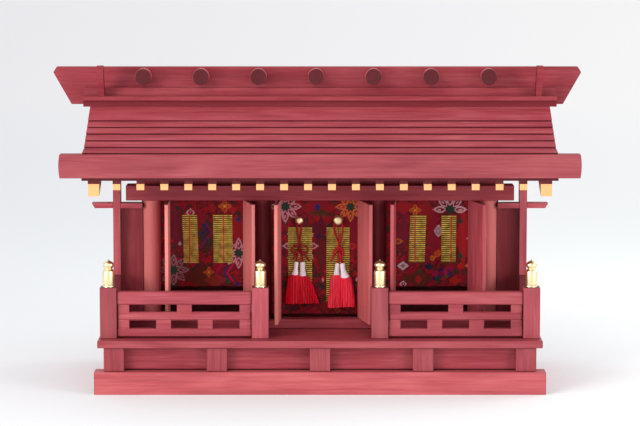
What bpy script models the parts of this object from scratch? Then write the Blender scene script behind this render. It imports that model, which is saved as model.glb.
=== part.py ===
"""Three-bay household shrine shelf in red-stained wood, with a stepped gable roof over a railed veranda.

Metres, +Z up. The front faces -Y, and the origin is on the standing surface under the ridge's middle.
"""
import math

import bmesh
import bpy
from mathutils import Matrix, Vector

# Fits between pieces
GAP = 0.0003                    # play left between two pieces that touch
EASED_EDGE = 0.0005             # width of the sanded bevel along a board's edges

# Base: a sill, short struts on it and the veranda floor
SILL_HALF_WIDTH = 0.2625
SILL_HEIGHT = 0.0264
SILL_DEPTH = 0.0240
BASE_FRONT = -0.1330
BASE_BACK = 0.1050
STRUT_COUNT = 5
STRUT_WIDTH = 0.0236
STRUT_DEPTH = 0.0097
STRUT_HEIGHT = 0.0280
STRUT_SETBACK = 0.0050          # behind the sill's front face
STRUT_INSET = 0.0111            # outer strut's side from the sill's end
RISER_THICKNESS = 0.0060
RISER_FOOT_GAP = 0.0015         # shadow gap under the front riser
FLOOR_THICKNESS = 0.0084
FLOOR_SIDE_INSET = 0.0040       # floor's side from the sill's end
FLOOR_FRONT_INSET = 0.0020      # floor's front edge behind the sill's front face

# Veranda railings
POST_WIDTH = 0.0195
POST_HEIGHT = 0.0598
POST_FRONT_INSET = 0.0157       # post's front face behind the floor's front edge
OUTER_POST_X = 0.2466
INNER_POST_X = 0.06975
RAILING_FOOT_GAP = 0.0023       # open line under the bottom rail
TOP_RAIL_HEIGHT = 0.0148
MIDDLE_RAIL_HEIGHT = 0.0099
BOTTOM_RAIL_HEIGHT = 0.0092
UPPER_OPENING_HEIGHT = 0.0091
LOWER_OPENING_HEIGHT = 0.0095
TOP_RAIL_DEPTH = 0.0120
RAIL_DEPTH = 0.0100
BLOCK_DEPTH = 0.0080
RAILING_SETBACK = 0.0023        # top rail's face behind the posts' faces
END_BLOCK_WIDTH = 0.0140
MIDDLE_BLOCK_WIDTH = 0.0172
BLOCK_TENON = 0.0030            # how far a block enters its rails
BLOCK_END_INSET = 0.0014        # end blocks behind the rails' ends

# Brass finials on the posts, as shares of their own height
FINIAL_HEIGHT = 0.0318
FINIAL_RADIUS = 0.0070
FINIAL_SEGMENTS = 14
FINIAL_PROFILE = (              # radius share, height share, from top to bottom
    (0.12, 1.000), (0.22, 0.960), (0.54, 0.922), (0.84, 0.872), (0.94, 0.815), (0.88, 0.755),
    (0.72, 0.702), (0.64, 0.672), (0.74, 0.640), (0.90, 0.602), (0.99, 0.570), (1.00, 0.550),
    (1.00, 0.060), (0.96, 0.050), (1.00, 0.040), (1.00, 0.000),
)

# Front of the shrine body
FACADE_FRONT = -0.0400
THRESHOLD_HEIGHT = 0.0107
THRESHOLD_DEPTH = 0.0210
PILLAR_DIAMETER = 0.0207
PILLAR_HEIGHT = 0.1428
PILLAR_SEGMENTS = 28
CORNER_PILLAR_X = 0.2002
INNER_PILLAR_X = 0.0684
LINTEL_HEIGHT = 0.0178
LINTEL_HALF_WIDTH = 0.2300
LINTEL_OVERHANG = 0.0060        # in front of the threshold's face
FRIEZE_THICKNESS = 0.0060

# Shrine body behind the front
WALL_THICKNESS = 0.0060
WALL_OVERLAP = 0.0025           # side walls' outer faces past the corner pillars
WALL_BACK_INSET = 0.0067        # back wall's face from the base's back

# Side screens between the body and the railings
SIDE_BOARD_THICKNESS = 0.0085
SIDE_BOARD_REAR_DEPTH = 0.0220  # depth of its upright part
SIDE_BOARD_SETBACK = 0.0020     # upright's front edge before the threshold's face
SIDE_BOARD_STEP = 0.0030        # little step where the curve starts
CURVE_TOP = 0.0651              # above the veranda floor
CURVE_FOOT = 0.0561
CURVE_POINTS = 16
SCREEN_THICKNESS = 0.0060
SCREEN_FACE = 0.0070            # panel's face behind the threshold's face
SCREEN_HEIGHT = 0.1333
CAP_HEIGHT = 0.0058
CAP_REACH = 0.0251              # beyond the side board's outer face
CAP_SLANT = 0.0034              # how much shorter its underside is
CAP_BACK_DEPTH = 0.0180         # from the side board's front edge to the cap's back
CAP_LAP = 0.0060                # depth of the side board's front strip at the crossing

# Door leaves
DOOR_THICKNESS = 0.0040
DOOR_SETBACK = 0.0020           # pivot line behind the threshold's face
DOOR_END_PLAY = 0.0005          # above and below a leaf
DOOR_SIDE_PLAY = 0.0004         # between a pillar and the hinge edge
DOOR_MEETING_GAP = 0.0006
PIVOT_INSET = 0.0089            # pivot line from the hinge edge
PIVOT_RADIUS = 0.0015
PIVOT_LENGTH = 0.0034
SOCKET_PLAY = 0.0002            # around and beyond a pivot pin
SOCKET_SEGMENTS = 14
REST_ANGLES = {                 # degrees open from the closed plane
    "left_bay": (89.3, 102.5),
    "centre_bay": (93.5, 103.0),
    "right_bay": (94.5, 106.0),
}

# Cloth panels behind the doors
CLOTH_THICKNESS = 0.0015
CLOTH_SIDE_LAP = 0.0040         # cloth behind a pillar, past the clear opening
CLOTH_TOP_LAP = 0.0150          # cloth behind the lintel
SIDE_CLOTH_LENGTH = 0.1217
CENTRE_CLOTH_LENGTH = 0.1550

# Tassels in the middle bay, hung from two studs
STUD_RADIUS = 0.0060
STUD_HEIGHT = 0.0045
STUD_SEGMENTS = 16
STUD_BELOW_LINTEL = 0.0258      # stud's middle under the lintel's underside
TASSEL_PLACES = {               # stud's X, skirts' middle X, bottom Z and width over both skirts
    "left": (-0.0249, -0.0212, 0.0910, 0.0424),
    "right": (0.0219, 0.0258, 0.0865, 0.0342),
}
TASSEL_HEIGHT = 0.0495
TASSEL_SPREAD_SHARE = 0.235     # a skirt's middle from the pair's middle, over their width
TASSEL_DEPTH = 0.0100
TASSEL_SEGMENTS = 14
TASSEL_PROFILE = (              # spread share, radius share, height share, from top to bottom
    (0.30, 0.16, 1.000), (0.34, 0.30, 0.960), (0.37, 0.34, 0.830), (0.40, 0.36, 0.700),
    (0.46, 0.46, 0.640), (0.62, 0.66, 0.480), (0.82, 0.86, 0.240), (0.96, 0.98, 0.060),
    (1.00, 0.92, 0.000),
)
TASSEL_CORD_RADIUS = 0.0012
TASSEL_CORD_POINTS = 8

# Roof
ROOF_PITCH = math.radians(25.0)
ROOF_HALF_WIDTH = 0.2749        # of the decks that the rafters carry
ROOF_BOARD_INSET = 0.0018       # stepped boards' ends from the decks' ends
ROOF_HALF_DEPTH = 0.1400
EAVE_BOARD_HALF_WIDTH = 0.3003
EAVE_BOARD_HEIGHT = 0.0276
EAVE_BOARD_THICKNESS = 0.0150
EAVE_BOARD_BULGE = 0.0013       # how far its rounded ends stand out at mid-height
EAVE_ABOVE_LINTEL = 0.0185      # eave board's underside over the lintel's top
END_ARC_POINTS = 7
RAFTER_COUNT = 18
OUTER_RAFTER_GAP = 0.0264       # middle of a barge rafter to the middle of the next one
RAFTER_WIDTH = 0.0089
RAFTER_HEIGHT = 0.0107          # upright, as its end is cut
RAFTER_END_INSET = 0.0120       # rafter ends behind the eave board's face
BARGE_RAFTER_INSET = 0.0139     # middle of a barge rafter from the deck's side
BARGE_RAFTER_WIDTH = 0.0133
BARGE_RAFTER_HEIGHT = 0.0179
DECK_THICKNESS = 0.0024         # upright
STEP_COUNT = 5
STEP_RUN = 0.0141
STEP_RISE = 0.0016
GROOVE_HEIGHT = 0.0012          # shadow groove under each step's lip
GROOVE_DEPTH = 0.0030
ROOF_BOARD_DROP = 0.0012        # roof surface under the eave board's top
ROOF_BOARD_SETBACK = 0.0015     # lowest step behind the eave board's face

# Ridge
RIDGE_BOARD_THICKNESS = 0.0120
RIDGE_BOARD_HEIGHT = 0.0446
RIDGE_BOARD_FOOT_HALF_WIDTH = 0.2935
RIDGE_BOARD_TIP_HALF_WIDTH = 0.3150
RIDGE_BOARD_TOP_HALF_WIDTH = 0.3110
RIDGE_BOARD_TIP_DROP = 0.0066   # widest point under the top edge
RIDGE_BOARD_SINK = 0.0094       # foot under the roof's peak line
RIDGE_BOARD_SHIFT = -0.0033     # its middle from the roof's middle, as it was set
COVER_HALF_WIDTH = 0.2812
COVER_DEPTH = 0.0190            # from the ridge board's face to the lower fascia's face
LEDGE_OVERHANG = 0.0040
LEDGE_THICKNESS = 0.0048
LEDGE_FOOT = 0.0060             # ledge's underside over the ridge board's foot
COVER_BEAM_DEPTH = 0.0080
COVER_BEAM_HEIGHT = 0.0092
LOG_COUNT = 7
LOG_SPACING = 0.0684
LOG_ROW_SHIFT = -0.0047         # middle log from the roof's middle
LOG_RADIUS = 0.0098
LOG_DROP = 0.0011               # logs' tops under the ridge board's top
LOG_FRONT_REACH = 0.0200        # beyond the ridge board's front face
LOG_BACK_REACH = 0.0080
LOG_CHAMFER = 0.0011
LOG_SEGMENTS = 16
CHIGI_INSET = 0.0217            # its middle from the ridge cover's end
CHIGI_THICKNESS = 0.0073
CHIGI_WIDTH = 0.0120
CHIGI_LEAN = 0.0200
CHIGI_ABOVE_RIDGE = {"front": 0.0034, "back": -0.0030}
CHIGI_SINK = 0.0010             # how far its foot enters the ledge

# Places worked out from the sizes above
FLOOR_BOTTOM = SILL_HEIGHT + STRUT_HEIGHT
FLOOR_TOP = FLOOR_BOTTOM + FLOOR_THICKNESS
FLOOR_HALF_WIDTH = SILL_HALF_WIDTH - FLOOR_SIDE_INSET
FLOOR_FRONT = BASE_FRONT + FLOOR_FRONT_INSET
STRUT_FRONT = BASE_FRONT + STRUT_SETBACK
OUTER_STRUT_X = SILL_HALF_WIDTH - STRUT_INSET - STRUT_WIDTH / 2
RISER_FRONT = STRUT_FRONT + STRUT_DEPTH + GAP
RISER_OUTER_X = OUTER_STRUT_X + STRUT_WIDTH / 2
POST_FRONT = FLOOR_FRONT + POST_FRONT_INSET
POST_BACK = POST_FRONT + POST_WIDTH
POST_TOP = FLOOR_TOP + GAP + POST_HEIGHT
THRESHOLD_TOP = FLOOR_TOP + GAP + THRESHOLD_HEIGHT
FACADE_BACK = FACADE_FRONT + THRESHOLD_DEPTH
PILLAR_Y = FACADE_FRONT + PILLAR_DIAMETER / 2
PILLAR_BOTTOM = THRESHOLD_TOP + GAP
LINTEL_BOTTOM = PILLAR_BOTTOM + PILLAR_HEIGHT + GAP
LINTEL_TOP = LINTEL_BOTTOM + LINTEL_HEIGHT
PILLAR_OUTER_X = CORNER_PILLAR_X + PILLAR_DIAMETER / 2
BODY_HALF_WIDTH = PILLAR_OUTER_X + WALL_OVERLAP
WALL_BACK = BASE_BACK - WALL_BACK_INSET
SIDE_BOARD_INNER_X = OUTER_POST_X - POST_WIDTH / 2 + GAP
SIDE_BOARD_OUTER_X = SIDE_BOARD_INNER_X + SIDE_BOARD_THICKNESS
SIDE_BOARD_FRONT = FACADE_FRONT - SIDE_BOARD_SETBACK
CAP_BOTTOM = THRESHOLD_TOP + GAP + SCREEN_HEIGHT + GAP
DOOR_Y = FACADE_FRONT + DOOR_SETBACK
DOOR_BOTTOM = THRESHOLD_TOP + DOOR_END_PLAY
DOOR_TOP = LINTEL_BOTTOM - DOOR_END_PLAY
CLOTH_FRONT = FACADE_BACK + GAP
TASSEL_Y = CLOTH_FRONT - GAP - TASSEL_DEPTH / 2
EAVE_BOTTOM = LINTEL_TOP + EAVE_ABOVE_LINTEL
EAVE_BOARD_BACK = ROOF_HALF_DEPTH - EAVE_BOARD_THICKNESS
BARGE_RAFTER_X = ROOF_HALF_WIDTH - BARGE_RAFTER_INSET
OUTER_RAFTER_X = BARGE_RAFTER_X - OUTER_RAFTER_GAP
RAFTER_END = ROOF_HALF_DEPTH - RAFTER_END_INSET
EAVE_TOP = EAVE_BOTTOM + EAVE_BOARD_HEIGHT
ROOF_BOARD_HALF_WIDTH = ROOF_HALF_WIDTH - ROOF_BOARD_INSET
ROOF_SURFACE_FOOT = EAVE_TOP - ROOF_BOARD_DROP
ROOF_PEAK = ROOF_SURFACE_FOOT + EAVE_BOARD_BACK * math.tan(ROOF_PITCH)
RIDGE_BOARD_FOOT = ROOF_PEAK - RIDGE_BOARD_SINK
RIDGE_BOARD_TOP = RIDGE_BOARD_FOOT + RIDGE_BOARD_HEIGHT
RIDGE_FACE = RIDGE_BOARD_THICKNESS / 2
CHIGI_X = COVER_HALF_WIDTH - CHIGI_INSET
LEDGE_BOTTOM = RIDGE_BOARD_FOOT + LEDGE_FOOT
LEDGE_TOP = LEDGE_BOTTOM + LEDGE_THICKNESS

SIDES = {"left": -1, "right": 1}
SLOPES = {"front": -1, "back": 1}


def linear(channel):
    """One sRGB channel, 0 to 1, as linear light."""
    return channel / 12.92 if channel <= 0.04045 else ((channel + 0.055) / 1.055) ** 2.4


def material(name, colour, roughness, metallic=0.0):
    """A plain Principled material from an sRGB hex colour."""
    made = bpy.data.materials.new(name)
    made.use_nodes = True
    shader = made.node_tree.nodes["Principled BSDF"]
    channels = [linear((colour >> shift & 255) / 255) for shift in (16, 8, 0)]
    shader.inputs["Base Color"].default_value = (*channels, 1.0)
    shader.inputs["Roughness"].default_value = roughness
    shader.inputs["Metallic"].default_value = metallic
    return made


def add_object(name, mesh, finish):
    """Puts a mesh in the scene as one named piece."""
    mesh.materials.append(finish)
    made = bpy.data.objects.new(name, mesh)
    bpy.context.scene.collection.objects.link(made)
    return made


def mesh_of(name, shape):
    """Ends a bmesh: faces turned outwards, then written to a new mesh."""
    bmesh.ops.recalc_face_normals(shape, faces=shape.faces)
    mesh = bpy.data.meshes.new(name)
    shape.to_mesh(mesh)
    shape.free()
    return mesh


def ease_edges(piece, width=EASED_EDGE):
    """Takes the sharpness off a board's long corners."""
    bevel = piece.modifiers.new("eased edges", "BEVEL")
    bevel.width = width
    bevel.segments = 1
    bevel.limit_method = "ANGLE"
    bevel.angle_limit = math.radians(50)
    return piece


def prism(name, outline, axis, low, high, finish):
    """A straight piece: an outline across one axis, extruded from low to high along it.

    The outline's points are (y, z) across X, (x, z) across Y and (x, y) across Z.
    """
    place = {
        "X": lambda a, b: (low, a, b),
        "Y": lambda a, b: (a, low, b),
        "Z": lambda a, b: (a, b, low),
    }[axis]
    along = Vector([high - low if letter == axis else 0 for letter in "XYZ"])
    shape = bmesh.new()
    end = shape.faces.new([shape.verts.new(place(a, b)) for a, b in outline])
    grown = bmesh.ops.extrude_face_region(shape, geom=[end])
    moved = [item for item in grown["geom"] if isinstance(item, bmesh.types.BMVert)]
    bmesh.ops.translate(shape, verts=moved, vec=along)
    return add_object(name, mesh_of(name, shape), finish)


def board(name, x, y, z, finish):
    """A squared board between its low and high X, Y and Z."""
    outline = [(y[0], z[0]), (y[1], z[0]), (y[1], z[1]), (y[0], z[1])]
    return prism(name, outline, "X", x[0], x[1], finish)


def turned(name, profile, segments, finish, place=Matrix.Identity(4)):
    """A round piece: a profile of (radius, height) points from top to bottom, spun about Z."""
    points = [(0.0, profile[0][1]), *profile, (0.0, profile[-1][1])]
    shape = bmesh.new()
    verts = [shape.verts.new((radius, 0.0, height)) for radius, height in points]
    edges = [shape.edges.new(pair) for pair in zip(verts, verts[1:])]
    bmesh.ops.spin(
        shape, geom=verts + edges, cent=(0, 0, 0), axis=(0, 0, 1),
        angle=math.tau, steps=segments, use_merge=True,
    )
    bmesh.ops.remove_doubles(shape, verts=shape.verts, dist=0.000001)
    bmesh.ops.transform(shape, matrix=place, verts=shape.verts)
    mesh = mesh_of(name, shape)
    mesh.shade_smooth()
    mesh.set_sharp_from_angle(angle=math.radians(40))
    return add_object(name, mesh, finish)


def as_helper(piece):
    """Marks a piece that only cuts or joins, so it isn't part of the model."""
    piece.hide_render = True
    piece.display_type = "WIRE"
    return piece


def combine(piece, helpers, operation):
    """Joins helpers to a piece or cuts them from it, one exact Boolean each."""
    for helper in helpers:
        modifier = piece.modifiers.new(helper.name, "BOOLEAN")
        modifier.operation = operation
        modifier.solver = "EXACT"
        modifier.object = as_helper(helper)
    return piece


def span(side, low, high):
    """The X range of a piece on one side, from its inner and outer distance off the middle."""
    return tuple(sorted((side * low, side * high)))


def roof_line(height_at_rafter_end, distance):
    """Height of a line along the slope, at a distance in front of or behind the ridge."""
    return height_at_rafter_end + (RAFTER_END - distance) * math.tan(ROOF_PITCH)


# The deck's upper face just clears the eave board's lower back corner.
DECK_TOP_AT_END = EAVE_BOTTOM - GAP - (EAVE_BOARD_THICKNESS - RAFTER_END_INSET) * math.tan(ROOF_PITCH)
DECK_BOTTOM_AT_END = DECK_TOP_AT_END - DECK_THICKNESS
RAFTER_BOTTOM_AT_END = DECK_BOTTOM_AT_END - RAFTER_HEIGHT


def under_rafters(distance):
    """Highest place for what stands under the rafters, at a distance from the ridge."""
    return roof_line(RAFTER_BOTTOM_AT_END, distance) - GAP


def roof_surface(distance):
    """Mean height of the stepped roof face at a distance from the ridge."""
    return ROOF_SURFACE_FOOT + (EAVE_BOARD_BACK - distance) * math.tan(ROOF_PITCH)


def make_base(wood):
    """The sill, the struts with their riser behind, the plain sides and back, and the floor."""
    riser_z = (SILL_HEIGHT + RISER_FOOT_GAP, FLOOR_BOTTOM - GAP)
    strut_z = (SILL_HEIGHT + GAP, FLOOR_BOTTOM - GAP)
    riser_y = (RISER_FRONT, RISER_FRONT + RISER_THICKNESS)
    sill_y = (BASE_FRONT, BASE_FRONT + SILL_DEPTH)
    back_y = (BASE_BACK - RISER_THICKNESS * 2, BASE_BACK)
    ease_edges(board("sill_front", (-SILL_HALF_WIDTH, SILL_HALF_WIDTH), sill_y, (0, SILL_HEIGHT), wood))
    inner_x = RISER_OUTER_X - RISER_THICKNESS - GAP
    ease_edges(board("riser_front", (-inner_x, inner_x), riser_y, riser_z, wood))
    spacing = 2 * OUTER_STRUT_X / (STRUT_COUNT - 1)
    for number in range(STRUT_COUNT):
        middle = number * spacing - OUTER_STRUT_X
        x = (middle - STRUT_WIDTH / 2, middle + STRUT_WIDTH / 2)
        y = (STRUT_FRONT, STRUT_FRONT + STRUT_DEPTH)
        ease_edges(board(f"strut_{number + 1}", x, y, strut_z, wood))
    front, back = sill_y[1] + GAP, back_y[0] - GAP
    side_outline = [
        (front, 0), (back, 0), (back, FLOOR_BOTTOM - GAP), (RISER_FRONT, FLOOR_BOTTOM - GAP),
        (RISER_FRONT, SILL_HEIGHT + GAP), (front, SILL_HEIGHT + GAP),
    ]
    for name, side in SIDES.items():
        x = span(side, RISER_OUTER_X - RISER_THICKNESS, RISER_OUTER_X)
        ease_edges(prism(f"base_side_{name}", side_outline, "X", x[0], x[1], wood))
    ease_edges(board(
        "base_back", (-RISER_OUTER_X, RISER_OUTER_X), back_y, (0, FLOOR_BOTTOM - GAP), wood,
    ))
    ease_edges(board(
        "veranda_floor", (-FLOOR_HALF_WIDTH, FLOOR_HALF_WIDTH), (FLOOR_FRONT, BASE_BACK),
        (FLOOR_BOTTOM, FLOOR_TOP), wood,
    ))


def make_post(number, x, wood, brass):
    """A square railing post and its turned finial."""
    half = POST_WIDTH / 2
    ease_edges(board(
        f"railing_post_{number}", (x - half, x + half), (POST_FRONT, POST_BACK),
        (FLOOR_TOP + GAP, POST_TOP), wood,
    ))
    profile = [(r * FINIAL_RADIUS, h * FINIAL_HEIGHT) for r, h in FINIAL_PROFILE]
    place = Matrix.Translation((x, (POST_FRONT + POST_BACK) / 2, POST_TOP + GAP))
    turned(f"finial_{number}", profile, FINIAL_SEGMENTS, brass, place)


def make_railing(name, side, wood):
    """Three rails between two posts, held apart by two rows of blocks, as one glued lattice."""
    inner = INNER_POST_X + POST_WIDTH / 2 + GAP
    outer = OUTER_POST_X - POST_WIDTH / 2 - GAP
    face = POST_FRONT + RAILING_SETBACK
    bottom_z = FLOOR_TOP + RAILING_FOOT_GAP
    lower_z = bottom_z + BOTTOM_RAIL_HEIGHT
    middle_z = lower_z + LOWER_OPENING_HEIGHT
    upper_z = middle_z + MIDDLE_RAIL_HEIGHT
    top_z = upper_z + UPPER_OPENING_HEIGHT
    rail_y = (face + (TOP_RAIL_DEPTH - RAIL_DEPTH) / 2, face + (TOP_RAIL_DEPTH + RAIL_DEPTH) / 2)
    block_y = (face + (TOP_RAIL_DEPTH - BLOCK_DEPTH) / 2, face + (TOP_RAIL_DEPTH + BLOCK_DEPTH) / 2)
    x = span(side, inner, outer)
    top = board(f"railing_{name}", x, (face, face + TOP_RAIL_DEPTH), (top_z, top_z + TOP_RAIL_HEIGHT), wood)
    ease_edges(top, 2 * EASED_EDGE)
    parts = [
        ease_edges(board(f"middle_rail_{name}", x, rail_y, (middle_z, upper_z), wood), 4 * EASED_EDGE),
        ease_edges(board(f"bottom_rail_{name}", x, rail_y, (bottom_z, lower_z), wood), 2 * EASED_EDGE),
    ]
    for row, blocks, low, high in (("upper", 1, upper_z, top_z), ("lower", 2, lower_z, middle_z)):
        z = (low - BLOCK_TENON, high + BLOCK_TENON)
        clear = outer - inner - 2 * END_BLOCK_WIDTH - blocks * MIDDLE_BLOCK_WIDTH
        opening = clear / (blocks + 1)
        ranges = [
            (inner + BLOCK_END_INSET, inner + END_BLOCK_WIDTH),
            (outer - END_BLOCK_WIDTH, outer - BLOCK_END_INSET),
        ]
        for number in range(blocks):
            low_x = inner + END_BLOCK_WIDTH + opening + number * (MIDDLE_BLOCK_WIDTH + opening)
            ranges.append((low_x, low_x + MIDDLE_BLOCK_WIDTH))
        for number, (low_x, high_x) in enumerate(ranges):
            parts.append(board(f"{row}_block_{name}_{number}", span(side, low_x, high_x), block_y, z, wood))
    combine(top, parts, "UNION")


def bays():
    """Each bay's clear opening between its two pillars, by name."""
    radius = PILLAR_DIAMETER / 2
    return {
        "left_bay": (-CORNER_PILLAR_X + radius, -INNER_PILLAR_X - radius),
        "centre_bay": (-INNER_PILLAR_X + radius, INNER_PILLAR_X - radius),
        "right_bay": (INNER_PILLAR_X + radius, CORNER_PILLAR_X - radius),
    }


def pivots():
    """Each leaf's pivot X, its closed direction and its rest angle, by name."""
    found = {}
    for bay, (low, high) in bays().items():
        left_angle, right_angle = REST_ANGLES[bay]
        inset = DOOR_SIDE_PLAY + PIVOT_INSET
        found[f"{bay}_door_left"] = (low + inset, 1, left_angle)
        found[f"{bay}_door_right"] = (high - inset, -1, right_angle)
    return found


def make_sockets(name, low, high, finish):
    """Round holes for the six pivot pins, as one cutter."""
    shape = bmesh.new()
    for x, _, _ in pivots().values():
        place = Matrix.Translation((x, DOOR_Y, (low + high) / 2))
        bmesh.ops.create_cone(
            shape, cap_ends=True, segments=SOCKET_SEGMENTS, radius1=PIVOT_RADIUS + SOCKET_PLAY,
            radius2=PIVOT_RADIUS + SOCKET_PLAY, depth=high - low, matrix=place,
        )
    return add_object(name, mesh_of(name, shape), finish)


def make_front(wood):
    """The threshold, the round pillars on it and the lintel with the frieze that meets the rafters."""
    depth = PIVOT_LENGTH + SOCKET_PLAY
    half_width = SIDE_BOARD_INNER_X - GAP
    threshold = board(
        "threshold", (-half_width, half_width), (FACADE_FRONT, FACADE_BACK),
        (FLOOR_TOP + GAP, THRESHOLD_TOP), wood,
    )
    sockets = make_sockets("lower_sockets", DOOR_BOTTOM - depth, THRESHOLD_TOP + GAP, wood)
    combine(ease_edges(threshold), [sockets], "DIFFERENCE")
    profile = [(PILLAR_DIAMETER / 2, PILLAR_HEIGHT), (PILLAR_DIAMETER / 2, 0.0)]
    places = (-CORNER_PILLAR_X, -INNER_PILLAR_X, INNER_PILLAR_X, CORNER_PILLAR_X)
    for number, x in enumerate(places, start=1):
        place = Matrix.Translation((x, PILLAR_Y, PILLAR_BOTTOM))
        turned(f"pillar_{number}", profile, PILLAR_SEGMENTS, wood, place)
    lintel = board(
        "lintel", (-LINTEL_HALF_WIDTH, LINTEL_HALF_WIDTH), (FACADE_FRONT - LINTEL_OVERHANG, FACADE_BACK),
        (LINTEL_BOTTOM, LINTEL_TOP), wood,
    )
    frieze_front = FACADE_BACK - FRIEZE_THICKNESS
    outline = [
        (frieze_front, LINTEL_TOP - FRIEZE_THICKNESS), (FACADE_BACK - GAP, LINTEL_TOP - FRIEZE_THICKNESS),
        (FACADE_BACK - GAP, under_rafters(-FACADE_BACK)), (frieze_front, under_rafters(-frieze_front)),
    ]
    frieze = prism("frieze", outline, "X", -BODY_HALF_WIDTH, BODY_HALF_WIDTH, wood)
    upper = make_sockets("upper_sockets", LINTEL_BOTTOM - GAP, DOOR_TOP + depth, wood)
    ease_edges(lintel)
    combine(lintel, [frieze], "UNION")
    combine(lintel, [upper], "DIFFERENCE")


def make_body(wood):
    """The walls behind the front: two sides shaped to the gable, and the back."""
    bottom = FLOOR_TOP + GAP
    front = FACADE_BACK + GAP
    back = WALL_BACK - WALL_THICKNESS - GAP
    outline = [
        (front, bottom), (back, bottom), (back, under_rafters(back)),
        (0.0, under_rafters(0.0)), (front, under_rafters(-front)),
    ]
    for name, side in SIDES.items():
        x = span(side, BODY_HALF_WIDTH - WALL_THICKNESS, BODY_HALF_WIDTH)
        prism(f"cabinet_side_{name}", outline, "X", x[0], x[1], wood)
    board(
        "cabinet_back", (-BODY_HALF_WIDTH, BODY_HALF_WIDTH), (WALL_BACK - WALL_THICKNESS, WALL_BACK),
        (bottom, under_rafters(WALL_BACK)), wood,
    )


def side_board_outline():
    """The side board across X: an upright with a slot for the cap, and a curved wing to the post."""
    rear = SIDE_BOARD_FRONT + SIDE_BOARD_REAR_DEPTH
    wing_front = POST_BACK + GAP
    curve_start = SIDE_BOARD_FRONT - SIDE_BOARD_STEP
    top, foot = FLOOR_TOP + CURVE_TOP, FLOOR_TOP + CURVE_FOOT
    slot = SIDE_BOARD_FRONT + CAP_LAP
    slot_low, slot_high = CAP_BOTTOM - GAP, CAP_BOTTOM + CAP_HEIGHT + GAP
    outline = [
        (rear, FLOOR_TOP + GAP), (rear, slot_low), (slot, slot_low), (slot, slot_high), (rear, slot_high),
        (rear, under_rafters(-rear)), (SIDE_BOARD_FRONT, under_rafters(-SIDE_BOARD_FRONT)),
        (SIDE_BOARD_FRONT, top),
    ]
    for number in range(CURVE_POINTS + 1):
        share = number / CURVE_POINTS
        y = curve_start + (wing_front - curve_start) * share
        outline.append((y, foot + (top - foot) * (1 + math.cos(math.pi * share)) / 2))
    outline.append((wing_front, FLOOR_TOP + GAP))
    return outline


def make_screens(wood):
    """Each side's board, the panel between it and the body, and the cap laid across both."""
    panel_y = (FACADE_FRONT + SCREEN_FACE, FACADE_FRONT + SCREEN_FACE + SCREEN_THICKNESS)
    panel_z = (THRESHOLD_TOP + GAP, THRESHOLD_TOP + GAP + SCREEN_HEIGHT)
    cap_back = SIDE_BOARD_FRONT + CAP_BACK_DEPTH
    tip = SIDE_BOARD_OUTER_X + CAP_REACH
    cap_front = SIDE_BOARD_FRONT + GAP
    notch = SIDE_BOARD_FRONT + CAP_LAP + GAP
    for name, side in SIDES.items():
        x = span(side, SIDE_BOARD_INNER_X, SIDE_BOARD_OUTER_X)
        prism(f"side_board_{name}", side_board_outline(), "X", x[0], x[1], wood)
        board(
            f"screen_panel_{name}", span(side, PILLAR_OUTER_X + GAP, SIDE_BOARD_INNER_X - GAP),
            panel_y, panel_z, wood,
        )
        plan = [
            (PILLAR_OUTER_X + GAP, cap_back), (PILLAR_OUTER_X + GAP, cap_front),
            (SIDE_BOARD_INNER_X - GAP, cap_front), (SIDE_BOARD_INNER_X - GAP, notch),
            (SIDE_BOARD_OUTER_X + GAP, notch), (SIDE_BOARD_OUTER_X + GAP, cap_front),
            (tip, cap_front), (tip, cap_back),
        ]
        cap = prism(
            f"screen_cap_{name}", [(side * px, py) for px, py in plan], "Z",
            CAP_BOTTOM, CAP_BOTTOM + CAP_HEIGHT, wood,
        )
        for vert in cap.data.vertices:
            if abs(vert.co.x) > tip - GAP and vert.co.z < CAP_BOTTOM + GAP:
                vert.co.x -= side * CAP_SLANT


def make_doors(wood):
    """Six board leaves on pivot pins, standing open at their rest angles."""
    leaf_z = DOOR_TOP - DOOR_BOTTOM
    places = pivots()
    for bay, (low, high) in bays().items():
        width = (high - low - 2 * DOOR_SIDE_PLAY - DOOR_MEETING_GAP) / 2
        for hand in ("left", "right"):
            name = f"{bay}_door_{hand}"
            x, direction, angle = places[name]
            leaf = board(
                name, span(direction, -PIVOT_INSET, width - PIVOT_INSET),
                (-DOOR_THICKNESS / 2, DOOR_THICKNESS / 2), (0.0, leaf_z), wood,
            )
            pin_profile = [(PIVOT_RADIUS, leaf_z + PIVOT_LENGTH), (PIVOT_RADIUS, -PIVOT_LENGTH)]
            pin = turned(f"{name}_pin", pin_profile, SOCKET_SEGMENTS, wood)
            combine(ease_edges(leaf), [pin], "UNION")
            for piece in (leaf, pin):
                piece.location = (x, DOOR_Y, DOOR_BOTTOM)
                piece.rotation_euler.z = -direction * math.radians(angle)


def make_cloths(cloth):
    """The three cloth panels that hang behind the lintel."""
    lengths = {
        "left_bay": SIDE_CLOTH_LENGTH, "centre_bay": CENTRE_CLOTH_LENGTH, "right_bay": SIDE_CLOTH_LENGTH,
    }
    top = LINTEL_BOTTOM + CLOTH_TOP_LAP
    for bay, (low, high) in bays().items():
        board(
            f"{bay}_cloth", (low - CLOTH_SIDE_LAP, high + CLOTH_SIDE_LAP),
            (CLOTH_FRONT, CLOTH_FRONT + CLOTH_THICKNESS), (top - lengths[bay], top), cloth,
        )


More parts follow.
